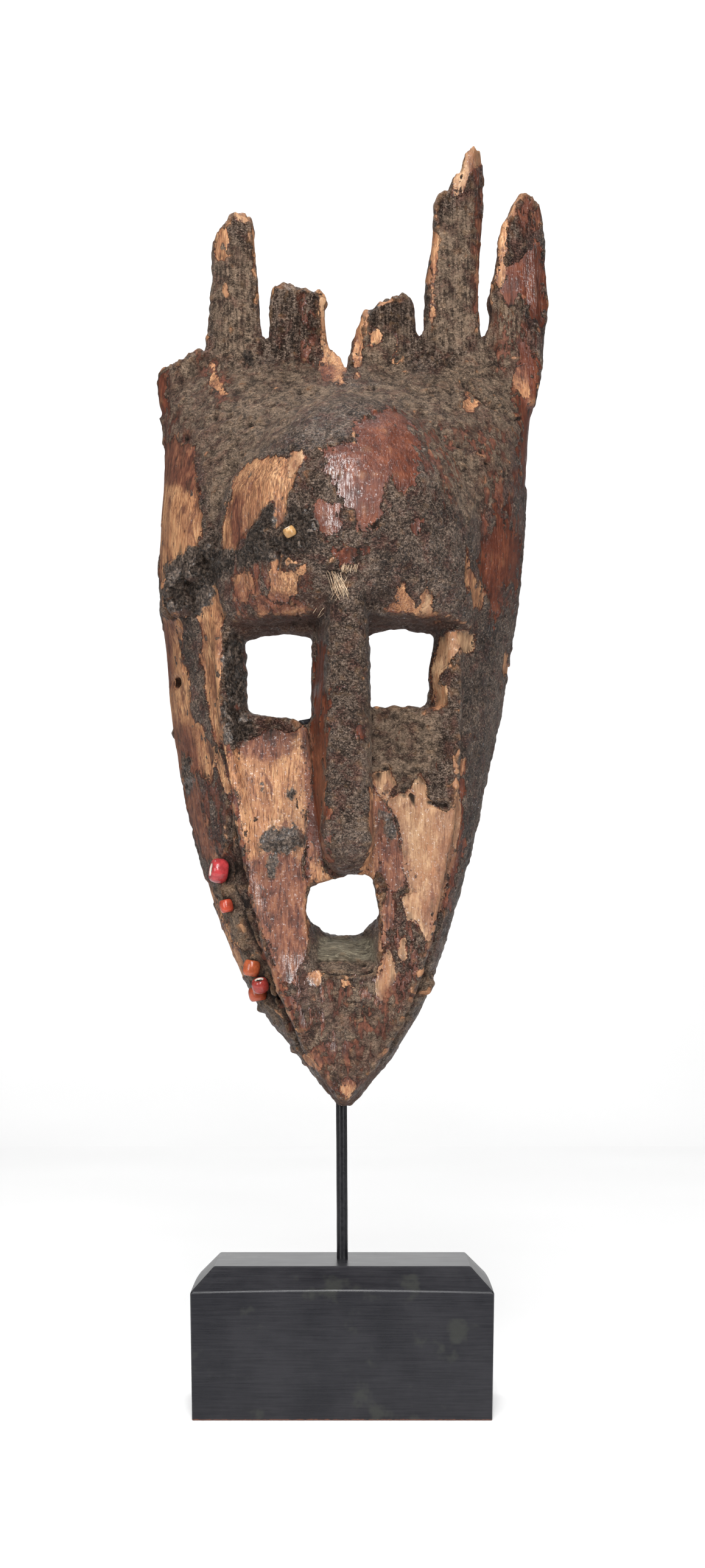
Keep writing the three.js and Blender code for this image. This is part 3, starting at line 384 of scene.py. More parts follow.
# Lights: name, place, target, width, height, power in watts
LIGHTS = [
    ("key_above", (-60, -1080, 1560), (0, -40, 420), 420, 900, 18),
    ("fill_right", (1050, -1350, 600), (0, 0, 360), 600, 1000, 13),
    ("fill_left", (-1050, -1350, 520), (0, 0, 360), 450, 1000, 11),
    ("glint", (5, -1150, 760), (4, -60, 480), 120, 780, 8.5),
    ("backdrop", (0, 900, 2700), (0, 2600, 400), 2400, 600, 48),
]
WORLD_STRENGTH = 0.14

# Linear colours
WOOD_DARK = (0.090, 0.034, 0.017)
WOOD_MID = (0.385, 0.172, 0.080)
WOOD_LIGHT = (0.620, 0.358, 0.180)
PALE_MID = (0.300, 0.152, 0.078)
PALE_LIGHT = (0.530, 0.330, 0.185)
STAIN = (0.100, 0.034, 0.024)
RED_DARK = (0.040, 0.013, 0.010)
RED_MID = (0.128, 0.040, 0.024)
RED_LIGHT = (0.245, 0.100, 0.053)
LIT_GREY_DARK = (0.170, 0.138, 0.092)
LIT_GREY_LIGHT = (0.460, 0.395, 0.275)
PAINTED_SHADE = (0.150, 0.062, 0.040)
POLISH_DARK = (0.036, 0.010, 0.006)
POLISH_MID = (0.100, 0.026, 0.013)
POLISH_LIGHT = (0.200, 0.062, 0.029)
CRUST_DARK = (0.016, 0.0095, 0.0065)
CRUST_MID = (0.145, 0.097, 0.072)
CRUST_LIGHT = (0.390, 0.285, 0.215)
CRUST_RED_DARK = (0.030, 0.012, 0.009)
CRUST_RED_LIGHT = (0.230, 0.092, 0.066)
CRUMB = (0.360, 0.290, 0.235)
DUST_DARK = (0.052, 0.031, 0.020)
DUST_LIGHT = (0.440, 0.305, 0.205)
WAX_DARK = (0.018, 0.012, 0.009)
WAX_LIGHT = (0.190, 0.140, 0.108)
REAR_DARK = (0.060, 0.033, 0.021)
REAR_LIGHT = (0.200, 0.122, 0.074)
BLOCK_DARK = (0.0080, 0.0080, 0.0108)
BLOCK_LIGHT = (0.0175, 0.0170, 0.0205)
BLOCK_SMUDGE = (0.0270, 0.0280, 0.0250)
BLOCK_WORN_FOOT = (0.160, 0.060, 0.035)
BLOCK_SCUFF = (0.070, 0.070, 0.075)
ROD_DARK = (0.0060, 0.0060, 0.0078)
ROD_LIGHT = (0.0140, 0.0140, 0.0165)
ROD_CHIP = (0.090, 0.055, 0.040)
BEAD_CORE = (0.620, 0.550, 0.470)
BEAD_BORE = (0.020, 0.012, 0.010)
STRAW_DARK = (0.340, 0.210, 0.120)
STRAW_LIGHT = (0.660, 0.500, 0.340)
PAPER_DARK = (0.790, 0.790, 0.790)
PAPER_LIGHT = (0.810, 0.810, 0.810)

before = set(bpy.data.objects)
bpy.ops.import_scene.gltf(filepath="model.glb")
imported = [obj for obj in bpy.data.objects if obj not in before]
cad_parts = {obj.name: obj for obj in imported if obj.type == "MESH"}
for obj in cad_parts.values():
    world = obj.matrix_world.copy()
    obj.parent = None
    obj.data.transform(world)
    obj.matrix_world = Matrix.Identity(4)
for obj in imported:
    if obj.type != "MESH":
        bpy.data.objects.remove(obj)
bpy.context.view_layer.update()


# Camera

def make_camera():
    data = bpy.data.cameras.new("view_camera")
    data.sensor_width = SENSOR
    data.lens = LENS
    data.shift_y = SHIFT_UP
    camera = bpy.data.objects.new("view_camera", data)
    camera.location = EYE
    camera.rotation_euler = (math.pi / 2, 0, 0)
    bpy.context.collection.objects.link(camera)
    bpy.context.scene.camera = camera


# Repeatable noise on arrays of points in millimetres

def cell_value(cell, salt):
    """A repeatable value from 0 to 1 for each whole-number cell."""
    mixed = cell[..., 0] * 73856093 ^ cell[..., 1] * 19349663 ^ cell[..., 2] * 83492791 ^ salt * 40503
    mixed = (mixed ^ (mixed >> 13)) * 1274126177
    mixed = mixed ^ (mixed >> 16)
    return (mixed & 0xFFFFFF) / 0xFFFFFF


def noise(points, size, salt=0):
    """Smooth noise from -1 to 1, with lumps as large as size: one number, or one along each axis."""
    scaled = points / np.broadcast_to(size, 3)
    cell = np.floor(scaled).astype(np.int64)
    t = scaled - cell
    t = t * t * (3 - 2 * t)
    total = np.zeros(len(points))
    for corner in itertools.product((0, 1), repeat=3):
        weight = np.prod(np.where(corner, t, 1 - t), axis=1)
        total += weight * cell_value(cell + corner, salt)
    return 2 * total - 1


def layered(points, layers):
    """Sum of several noises, each with its height, lump size and salt."""
    return sum(height * noise(points, size, salt) for height, size, salt in layers)


def pebbles(points, size, salt=0):
    """Distance to the nearest of scattered seeds, 0 at a seed and about 1 between them."""
    scaled = points / np.broadcast_to(size, 3)
    cell = np.floor(scaled).astype(np.int64)
    nearest = np.full(len(points), 9.0)
    for step in itertools.product((-1, 0, 1), repeat=3):
        there = cell + step
        seed = there + np.stack([cell_value(there, salt + i) for i in range(3)], axis=1)
        nearest = np.minimum(nearest, ((scaled - seed) ** 2).sum(axis=1))
    return np.sqrt(nearest)


def ease(low, high, value):
    t = np.clip((value - low) / (high - low), 0, 1)
    return t * t * (3 - 2 * t)


# Places seen from the front

def front_view(points):
    """Where points are seen on the plane through the rod: millimetres across, and up from the tip."""
    reach = VIEW_DISTANCE / (VIEW_DISTANCE + points[:, 1])
    across = VIEW_X + (points[:, 0] - VIEW_X) * reach
    up = VIEW_HEIGHT - TIP_HEIGHT + (points[:, 2] - VIEW_HEIGHT) * reach
    return np.stack([across, up], axis=1)


def distance_to_route(seen, route):
    nearest = np.full(len(seen), np.inf)
    for start, end in zip(route, route[1:]):
        edge = np.subtract(end, start)
        share = np.clip((seen - start) @ edge / max(1e-9, edge @ edge), 0, 1)
        gap = seen - start - share[:, None] * edge
        nearest = np.minimum(nearest, np.hypot(gap[:, 0], gap[:, 1]))
    return nearest


def depth_inside(seen, outline):
    """Distance to a closed outline, above zero inside it."""
    closed = [*outline, outline[0]]
    inside = np.zeros(len(seen), bool)
    for (ax, ay), (bx, by) in zip(closed, closed[1:]):
        if ay == by:
            continue
        crosses = (ay > seen[:, 1]) != (by > seen[:, 1])
        inside ^= crosses & (seen[:, 0] < ax + (seen[:, 1] - ay) / (by - ay) * (bx - ax))
    distance = distance_to_route(seen, closed)
    return np.where(inside, distance, -distance)


def near_box(seen, places, margin):
    low = np.min(places, axis=0) - margin
    high = np.max(places, axis=0) + margin
    return np.flatnonzero(((seen > low) & (seen < high)).all(axis=1))


def patch_field(seen, outlines):
    """How deep each seen place lies inside the nearest of several outlines, below zero outside them."""
    field = np.full(len(seen), -float(FIELD_REACH))
    for outline in outlines:
        near = near_box(seen, outline, FIELD_REACH)
        field[near] = np.maximum(field[near], depth_inside(seen[near], outline))
    return np.clip(field, -FIELD_REACH, FIELD_REACH)


# Mesh helpers

def read_points(mesh):
    flat = np.empty(len(mesh.vertices) * 3)
    mesh.vertices.foreach_get("co", flat)
    return flat.reshape(-1, 3) / MM


def write_points(mesh, points):
    mesh.vertices.foreach_set("co", (points * MM).ravel())
    mesh.update()


def read_normals(mesh):
    flat = np.empty(len(mesh.vertices) * 3)
    mesh.vertex_normals.foreach_get("vector", flat)
    return flat.reshape(-1, 3)


def add_attribute(mesh, name, values):
    mesh.attributes.new(name, "FLOAT", "POINT").data.foreach_set("value", np.asarray(values, np.float32))


def shade_smooth(mesh):
    mesh.polygons.foreach_set("use_smooth", np.ones(len(mesh.polygons), bool))


def new_piece(name, mesh):
    piece = bpy.data.objects.new(name, mesh)
    bpy.context.collection.objects.link(piece)
    return piece


def apply_modifiers(piece):
    graph = bpy.context.evaluated_depsgraph_get()
    baked = bpy.data.meshes.new_from_object(piece.evaluated_get(graph))
    piece.modifiers.clear()
    piece.data = baked


class Neighbours:
    """Averages values over the vertices that share an edge."""

    def __init__(self, mesh):
        ends = np.empty(len(mesh.edges) * 2, np.int32)
        mesh.edges.foreach_get("vertices", ends)
        pairs = ends.reshape(-1, 2)
        both = np.concatenate([pairs, pairs[:, ::-1]])
        both = both[np.argsort(both[:, 0], kind="stable")]
        self.others = both[:, 1]
        self.counts = np.bincount(both[:, 0], minlength=len(mesh.vertices))
        self.starts = np.concatenate([[0], np.cumsum(self.counts)[:-1]])

    def average(self, values, rounds):
        counts = self.counts if values.ndim == 1 else self.counts[:, None]
        for _ in range(rounds):
            total = np.add.reduceat(values[self.others], self.starts, axis=0)
            values = 0.5 * values + 0.5 * total / counts
        return values


# Mask

def ray_tree(mesh, points):
    """The faces of a mesh in millimetres, sorted so that rays find them."""
    faces = [tuple(face.vertices) for face in mesh.polygons]
    return BVHTree.FromPolygons([tuple(point) for point in points], faces, all_triangles=False)


def hidden_from_front(tree, points, normals):
    """1 for the vertices of the hollow and the back, which other wood covers when seen along +Y."""
    forward = Vector((0, -1, 0))
    starts = points + normals * HIDDEN_RAY_START
    return np.array([tree.ray_cast(Vector(start), forward)[0] is not None for start in starts], float)


def occlusion_shade(tree, points, normals, hidden):
    """Where shade is painted: how much of the view from each vertex near wood blocks, 0 in the open,
    1 deep in a recess, and more under faces that look down.
    """
    front = np.flatnonzero(hidden < 0.9)
    starts = points[front] + normals[front] * SHELTER_RAY_START
    blocked = np.zeros(len(front))
    for i in range(SHELTER_RAYS):
        turn = math.pi * (3 - math.sqrt(5)) * i
        rise = 1 - (2 * i + 1) / SHELTER_RAYS
        flat = math.sqrt(1 - rise * rise)
        spoke = np.array([flat * math.cos(turn), flat * math.sin(turn), rise])
        rays = normals[front] + SHELTER_SPREAD * spoke
        blocked += [tree.ray_cast(Vector(start), Vector(ray), SHELTER_REACH)[0] is not None
                    for start, ray in zip(starts, rays)]
    share = np.zeros(len(points))
    share[front] = blocked / SHELTER_RAYS
    under = ease(0.3, 0.75, -normals[:, 2]) * (1 - hidden)
    return np.maximum(share, 0.6 * under)


def finish_fields(points, hidden):
    """Fields that say how deep each vertex lies in each finish, with edges made ragged along the grain."""
    seen = front_view(points)
    ragged = layered(points, RAGGED_EDGES)
    fields = {}
    for look, outlines in PATCHES.items():
        field = patch_field(seen, outlines.values())
        share = 0.5 if look in ("pale", "wax") else 1
        fields[look] = np.where(hidden > 0.5, -FIELD_REACH, field + share * ragged)
    streaked = patch_field(seen, [PATCHES["bare"][name] for name in STREAKED])
    fields["streaked"] = ease(-3, 3, streaked) * (hidden < 0.5)
    greyed_and_lit = patch_field(seen, [GREYED_LIT_MOUTH_FLOOR])
    fields["greyed_and_lit"] = ease(-1, 2, greyed_and_lit + 0.4 * ragged) * (hidden < 0.5)
    return fields


def broken_ends(points, normals):
    """1 on the upward broken faces of the horns."""
    height = points[:, 2] - TIP_HEIGHT
    return ((normals[:, 2] > 0.35) & (height > BROKEN_FROM)).astype(float)


def folds(points):
    """Rounded lumps with creases between them, as dried crust has."""
    warped = points + 2.2 * np.stack([noise(points, 6, salt) for salt in (32, 33, 34)], axis=1)
    return np.abs(noise(warped, (9, 9, 6), 27)) + 0.6 * np.abs(noise(warped, (4.4, 4.4, 3.2), 28))


def crust_relief(points, dusty, horn):
    """Height of the crust: its thickness with lumps, pebbles and folds, and pock marks where it is dusty."""
    clustered = ease(-0.1, 0.4, noise(points, 18, 20))
    pocked = clustered * 2.0 * ease(0.28, 0.10, pebbles(points, (9, 9, 6), 29))
    relief = CRUST_THICKNESS * (0.75 + 0.25 * noise(points, 6, 3)) + layered(points, CRUST_LUMPS)
    relief += 0.3 * ease(0.55, 0.1, pebbles(points, 5.2, 18))
    relief += (0.5 + 1.1 * dusty) * (1 - 0.75 * horn) * (folds(points) - 0.45)
    return relief + dusty * (0.7 * noise(points, 9, 24) - pocked)


def wax_relief(points):
    """Height of the wax: a thin film that stands up in large and small knobs."""
    knobbed = ease(0.75, 0.15, pebbles(points, 6, 19)) + 0.5 * ease(0.6, 0.1, pebbles(points, 3.4, 30))
    return 0.1 + 0.45 * noise(points, 2.4, 10) + 1.1 * knobbed


def flow_lines(seen):
    """Combed lines that run round the forehead, on the slope up to the crest."""
    x, h = seen[:, 0] - DOME_CENTRE[0], seen[:, 1] - DOME_CENTRE[1]
    ring = np.hypot(x, h)
    turn = np.arctan2(h, x)
    lines = noise(np.stack([ring, turn * 60, np.zeros(len(ring))], axis=1), (1.9, 16, 1), 15)
    return 0.38 * lines * ease(52, 64, ring) * ease(104, 84, ring) * ease(-20, 10, h)


def bump_at(seen, across, h, radius, warp):
    """1 at a place, falling to 0 beyond a radius that is warped a little."""
    gap = np.hypot(seen[:, 0] - across, seen[:, 1] - h) + 0.7 * warp
    return np.exp(-((gap / radius) ** 2))


def worn_relief(points, fields, hidden):
    """How far each vertex of the front moves out along its normal."""
    seen = front_view(points)
    dusty = ease(-4, 6, fields["dust"])
    horn = ease(*FLUTED_HEIGHTS, points[:, 2] - TIP_HEIGHT)
    crust = 1 - ease(-0.6, 0.6, np.max([fields[look] for look in ("bare", "pale", "polish")], axis=0))
    relief = layered(points, BROAD_SWELLS) + crust * crust_relief(points, dusty, horn)
    relief += horn * layered(points, HORN_FLUTES)
    relief += (1 - crust) * layered(points, WOOD_GRAIN)
    relief += (1 - crust) * fields["streaked"] * layered(points, STREAK_GRAIN)
    relief += ease(-0.5, 1.5, fields["wax"]) * wax_relief(points)
    relief += flow_lines(seen) * (0.4 + 0.6 * dusty)
    warp = noise(points, 3, 13)
    for width, depth, route in CRACKS:
        near = near_box(seen, route, 6 * width + 2)
        gap = distance_to_route(seen[near], route) + 0.5 * warp[near]
        relief[near] -= depth * np.exp(-((gap / width) ** 2))
    for across, h, radius, depth in PITS:
        relief -= depth * bump_at(seen, across, h, radius, warp)
    knobs = 0.75 + 0.5 * ease(0.7, 0.2, pebbles(points, 5, 14))
    for across, h, radius, out in LUMPS:
        relief += out * knobs * bump_at(seen, across, h, radius, warp)
    return relief * (1 - hidden)


def rear_relief(points, hidden):
    """Shallow tool marks inside the hollow and on the back."""
    scoops = pebbles(points, (13, 13, 20), 21)
    return hidden * (0.9 * scoops - 0.5 + 0.25 * noise(points, (3, 3, 16), 22))


def box_corners(name):
    """The low and the high corner of a solid's box in millimetres."""
    return [np.array(corner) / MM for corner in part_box(name)]


def bead_middle(name, out):
    low, high = box_corners(name)
    return (low + high) / 2 - (0, out, 0)


def sink_bead_seats(points):
    """Pushes the wood back into a sloping seat round each bead, so that it shows whole from the front."""
    seen = front_view(points)
    for name, diameter, _, _, _, out, _ in BEADS:
        middle = bead_middle(name, out)
        gap = np.hypot(*(seen - front_view(middle[None])).T)
        seat = middle[1] - SEAT_SLOPE * np.maximum(gap - diameter / 2, 0)
        near = (gap < 2 * diameter) & (np.abs(points[:, 1] - middle[1]) < SEAT_REACH)
        points[near, 1] = np.maximum(points[near, 1], seat[near])


def even_surface(piece):
    """Rebuilds the solid's facets as small even faces and softens the edges between them."""
    weld = piece.modifiers.new("weld", "WELD")
    weld.merge_threshold = WELD_GAP * MM
    remesh = piece.modifiers.new("remesh", "REMESH")
    remesh.mode = "VOXEL"
    remesh.voxel_size = VOXEL * MM
    apply_modifiers(piece)
    neighbours = Neighbours(piece.data)
    points = read_points(piece.data)
    soft = neighbours.average(points, SMOOTH_ROUNDS)
    points = soft + neighbours.average(points - soft, SMOOTH_ROUNDS)
    write_points(piece.data, points)
    return points, neighbours


def raise_relief(mesh, points, neighbours):
    """Moves every vertex by the relief, the splinters of the broken ends and the seats of the beads."""
    normals = read_normals(mesh)
    hidden = neighbours.average(hidden_from_front(ray_tree(mesh, points), points, normals), 2)
    fields = finish_fields(points, hidden)
    relief = worn_relief(points, fields, hidden) + rear_relief(points, hidden)
    splinters = layered(points, SPLINTERS) * neighbours.average(broken_ends(points, normals), 3)
    points = points + normals * relief[:, None]
    points[:, 2] += splinters
    sink_bead_seats(points)
    write_points(mesh, points)


def thin_out(piece):
    """Joins faces until the piece keeps to its limit of triangles."""
    decimate = piece.modifiers.new("decimate", "DECIMATE")
    decimate.ratio = min(1, TRIANGLE_LIMIT / (2 * len(piece.data.polygons)))
    decimate.use_collapse_triangulate = True
    apply_modifiers(piece)


def paint_fields(mesh):
    """Stores the finishes, the hollow, the crevices and under faces where shade is painted, and the horns
    on the finished mesh for the material.
    """
    neighbours = Neighbours(mesh)
    points = read_points(mesh)
    normals = read_normals(mesh)
    height = points[:, 2] - TIP_HEIGHT
    tree = ray_tree(mesh, points)
    hidden = neighbours.average(hidden_from_front(tree, points, normals), 1)
    fields = finish_fields(points, hidden)
    for name, rounds in (("raised", 5), ("edge", 14)):
        bulge = ((points - neighbours.average(points, rounds)) * normals).sum(axis=1)
        fields[name] = np.clip(bulge, -2, 2)
    fields["hidden"] = hidden
    fields["recess_shade_amount"] = neighbours.average(occlusion_shade(tree, points, normals, hidden), 3)
    torn = neighbours.average(broken_ends(points, normals), 2)
    fields["broken"] = torn * ease(*SPLINTERED_HEIGHTS, height)
    fields["horn"] = ease(*UPRIGHT_HEIGHTS, height)
    for name, values in fields.items():
        add_attribute(mesh, name, values)


def build_mask():
    piece = new_piece("mask_wood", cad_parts["mask"].data.copy())
    piece.data.materials.clear()
    points, neighbours = even_surface(piece)
    raise_relief(piece.data, points, neighbours)
    thin_out(piece)
    paint_fields(piece.data)
    shade_smooth(piece.data)
    return piece


# Materials

class Value:
    """A number that a material works out at every point. It adds and multiplies as plain numbers do."""

    def __init__(self, recipe, socket):
        self.recipe = recipe
        self.socket = socket

    def __add__(self, other):
        return self.recipe.math("ADD", self, other)

    def __sub__(self, other):
        return self.recipe.math("SUBTRACT", self, other)

    def __rsub__(self, other):
        return self.recipe.math("SUBTRACT", other, self)

    def __mul__(self, other):
        return self.recipe.math("MULTIPLY", self, other)

    def __abs__(self):
        return self.recipe.math("ABSOLUTE", self, 0.0)


class Recipe:
    """A node material that is written as plain sums and a few nested calls."""

    def __init__(self, name):
        self.material = bpy.data.materials.new(name)
        self.material.use_nodes = True
        self.tree = self.material.node_tree
        self.surface = self.tree.nodes["Principled BSDF"]
        self.place = self.node("ShaderNodeTexCoord").outputs["Object"]

    def node(self, kind, inputs=(), **settings):
        made = self.tree.nodes.new(kind)
        for key, value in settings.items():
            setattr(made, key, value)
        for key, value in dict(inputs).items():
            self.feed(made.inputs[key], value)
        return made

    def feed(self, socket, value):
        if isinstance(value, Value):
            value = value.socket
        if isinstance(value, bpy.types.NodeSocket):
            self.tree.links.new(value, socket)
        elif isinstance(value, tuple) and len(value) == 3 and socket.type == "RGBA":
            socket.default_value = (*value, 1)
        else:
            socket.default_value = value

    def attribute(self, name):
        return Value(self, self.node("ShaderNodeAttribute", attribute_name=name).outputs["Fac"])

    def height(self):
        return Value(self, self.node("ShaderNodeSeparateXYZ", {0: self.place}).outputs["Z"])

    def noise(self, size, detail=2.0, roughness=0.5, stretch=None, distortion=0.0):
        """Noise from 0 to 1 with lumps of that size in millimetres, drawn out where stretch is under 1."""
        place = self.place
        if stretch:
            place = self.node("ShaderNodeMapping", {"Vector": place, "Scale": stretch}).outputs["Vector"]
        return Value(self, self.node("ShaderNodeTexNoise", {
            "Vector": place, "Scale": 1 / (size * MM), "Detail": detail,
            "Roughness": roughness, "Distortion": distortion,
        }).outputs["Fac"])

    def math(self, operation, a, b):
        return Value(self, self.node("ShaderNodeMath", {0: a, 1: b}, operation=operation).outputs[0])

    def largest(self, first, *others):
        for other in others:
            first = self.math("MAXIMUM", first, other)
        return first

    def step(self, value, low, high):
        """0 under low, 1 over high, and smooth between."""
        ends = {"Value": value, "From Min": low, "From Max": high}
        return Value(self, self.node(
            "ShaderNodeMapRange", ends, interpolation_type="SMOOTHSTEP").outputs["Result"])

    def ramp(self, value, stops):
        made = self.node("ShaderNodeValToRGB", {"Fac": value})
        elements = made.color_ramp.elements
        while len(elements) < len(stops):
            elements.new(0.5)
        for element, (position, colour) in zip(elements, stops):
            element.position = position
            element.color = (*colour, 1)
        return made.outputs["Color"]

    def mix(self, share, a, b):
        made = self.node("ShaderNodeMix", data_type="RGBA")
        for socket, value in ((0, share), (6, a), (7, b)):
            self.feed(made.inputs[socket], value)
        return made.outputs[2]

    def finish(self, colour, roughness, height=None, **settings):
        """Connects the surface. Height is in metres."""
        self.feed(self.surface.inputs["Base Color"], colour)
        self.feed(self.surface.inputs["Roughness"], roughness)
        if height is not None:
            bump = self.node("ShaderNodeBump", {"Height": height, "Distance": 1.0, "Strength": 1.0})
            for normal in ("Normal", "Coat Normal"):
                self.feed(self.surface.inputs[normal], bump.outputs["Normal"])
        for key, value in settings.items():
            self.feed(self.surface.inputs[key], value)
        return self.material


def wood_colours(r):
    """Bare, dry pale and reddened wood with grain, pores and dark streaks, and the grain itself."""
    fine = r.noise(0.7, 3, 0.6, (1, 1, 0.10), 0.3)
    wide = r.noise(2.4, 4, 0.6, (1, 1, 0.12), 0.5)
    grain = fine * 0.62 + wide * 0.38
    broad = r.noise(9, 5, 0.62, (1, 1, 0.5))
    bare = r.ramp(grain * 0.68 + broad * 0.32, [(0.38, WOOD_DARK), (0.47, WOOD_MID), (0.61, WOOD_LIGHT)])
    pale = r.ramp(grain * 0.4 + broad * 0.6, [(0.36, WOOD_MID), (0.45, PALE_MID), (0.60, PALE_LIGHT)])
    mottle = r.noise(4.5, 5, 0.68, (1, 1, 0.4), 0.4)
    red = r.ramp(grain * 0.5 + mottle * 0.5, [(0.42, RED_DARK), (0.50, RED_MID), (0.59, RED_LIGHT)])
    glazed = r.step(r.noise(13, 5, 0.66, (1, 1, 0.6)), 0.44, 0.60)
    bare = r.mix(glazed * 0.45, bare, red)
    stained = r.step(r.noise(7, 5, 0.70, (1, 1, 0.55), 0.6), 0.55, 0.64)
    bare = r.mix(stained * 0.75, bare, STAIN)
    pale = r.mix(stained * 0.6, pale, red)
    pores = r.step(r.noise(0.6, 3, 0.6, (1, 1, 0.10)), 0.56, 0.64) * 0.75
    bare = r.mix(pores, bare, WOOD_DARK)
    pale = r.mix(pores * 0.6, pale, WOOD_DARK)
    streaks = r.step(r.noise(0.9, 4, 0.66, (1, 1, 0.16), 0.5), 0.54, 0.46) * r.attribute("streaked")
    bare = r.mix(streaks * 0.66, bare, WOOD_DARK)
    return bare, pale, red, grain


def crust_colours(r, red_share):
    """Old crust with pale crumbs and red-brown places, the dust that lies on it, and the crust's relief.
    Their tones follow the relief: painted shade in its hollows and creases, painted light on its lumps.
    """
    grit = r.noise(0.8, 3, 0.7)
    wrinkled = r.step(abs(r.noise(1.9, 4, 0.65, (1, 1, 1.5), 0.8) - 0.5), 0.0, 0.09)
    lumps = r.noise(1.7, 4, 0.62, (1, 1, 1.3), 0.4)
    upright = (r.noise(1.6, 4, 0.66, (1, 1, 0.08)) - 0.5) * (r.attribute("horn") * 0.45)
    # The tone takes the grit, lumps and creases of the relief: painted shade in its hollows and creases and
    # painted light on its lumps, over the crust's own mottling
    tone_and_relief_shade = grit * 0.35 + lumps * 0.3 + r.noise(6, 5, 0.62) * 0.17 + r.noise(20, 3, 0.5) * 0.18
    tone_and_relief_shade = tone_and_relief_shade + (wrinkled - 0.75) * 0.09 + upright
    reddened = r.step(r.noise(8, 5, 0.65) + red_share * 0.09, 0.50, 0.62)
    red_crust = r.ramp(tone_and_relief_shade, [(0.42, CRUST_RED_DARK), (0.58, CRUST_RED_LIGHT)])
    crumbs = r.step(r.noise(0.9, 2, 0.5), 0.66, 0.71)
    crust = r.ramp(tone_and_relief_shade, [(0.42, CRUST_DARK), (0.50, CRUST_MID), (0.58, CRUST_LIGHT)])
    crust = r.mix(reddened * 0.7, crust, red_crust)
    crust = r.mix(crumbs * 0.85, crust, CRUMB)
    dust_tone_and_crease_shade = r.noise(1.2, 5, 0.75) * 0.45 + r.noise(5, 5, 0.65) * 0.5 + upright
    # Painted shade in the creases of the dust as well
    dust = r.ramp(dust_tone_and_crease_shade + (wrinkled - 0.3) * 0.09, [(0.42, DUST_DARK), (0.57, DUST_LIGHT)])
    dust = r.mix(crumbs * 0.5, dust, CRUMB)
    dust = r.mix(reddened * 0.45, dust, red_crust)
    return crust, dust, grit * 1.6 + wrinkled * 0.6 + lumps * 4.6


def finish_shares(r, fine, shown, chips_and_shade_allowed):
    """The fields in which the crust is worn off, and how much bare wood, pale wood, polish and wax shows."""
    def share(field, reach=0.3):
        return r.step(field + fine, -reach, reach)

    spots = r.step(r.noise(4.5, 3, 0.6, (1, 1, 0.7)), 0.62, 0.70) * 9.0
    bare = r.attribute("bare") - spots
    pale = r.attribute("pale") - spots * 0.6
    mottled = (r.noise(6.5, 4, 0.6) - 0.5) * 16.0
    polish = r.attribute("polish") + mottled - spots * 0.7
    ring = r.largest(bare, pale) + r.noise(7, 3) * 3.2
    half_worn = r.step(r.attribute("half_worn") + fine, -3.0, 3.0)
    half_worn = half_worn * r.step(r.noise(5, 6, 0.68, (1, 1, 0.42)), 0.49, 0.54)
    chips = r.step(r.noise(3.2, 4, 0.65, (1, 1, 0.5)), 0.67, 0.69) * shown * (chips_and_shade_allowed * 0.75 + 0.25)
    edge_fray = (r.noise(4, 4, 0.6, (1, 1, 0.4)) - 0.5) * 1.2
    edges = r.step(r.attribute("edge") + edge_fray, 0.62, 0.80) * shown
    edges = edges * (chips_and_shade_allowed * r.step(r.noise(11, 3), 0.44, 0.58))
    polish_share = r.largest(share(polish), share(ring - 0.9), chips * 0.7, half_worn * 0.9, edges)
    bare_share = r.largest(share(bare), edges * 0.5)
    wax_share = share(r.attribute("wax") + (r.noise(5, 3) - 0.5) * 9.0, 0.8)
    return (bare, pale, polish), bare_share, share(pale), polish_share, wax_share


def paint_hollow_shade_and_wear(r, colour, wax_share):
    """Paints shade where the relief lies low, and wears its tops down to light wood."""
    raised = r.attribute("raised")
    # Painted shade in the low places of the relief
    for low, high, strength in ((-0.05, -0.45, 0.55), (-0.4, -0.9, 0.9)):
        colour = r.mix(r.step(raised, low, high) * strength, colour, CRUST_DARK)
    worn_tops = r.step(raised, 0.12, 0.5) * (0.2 - wax_share * 0.2)
    return r.mix(worn_tops, colour, WOOD_LIGHT)


def glossy_coat(r, fine, polish_share, dusty):
    """How much clear gloss lies in the gloss places, and in small glints all over the crust."""
    glazed = r.step(r.attribute("gloss") + fine * 1.5, -2.0, 3.0)
    scratched = r.step(r.noise(0.8, 4, 0.7, (1, 1, 0.10), 0.5), 0.47, 0.56)
    glints = r.step(r.noise(1.3, 3, 0.6), 0.58, 0.66) * (0.7 - dusty * 0.8)
    return r.largest(glazed * (scratched * (polish_share * 0.5 + 0.5)), glints)


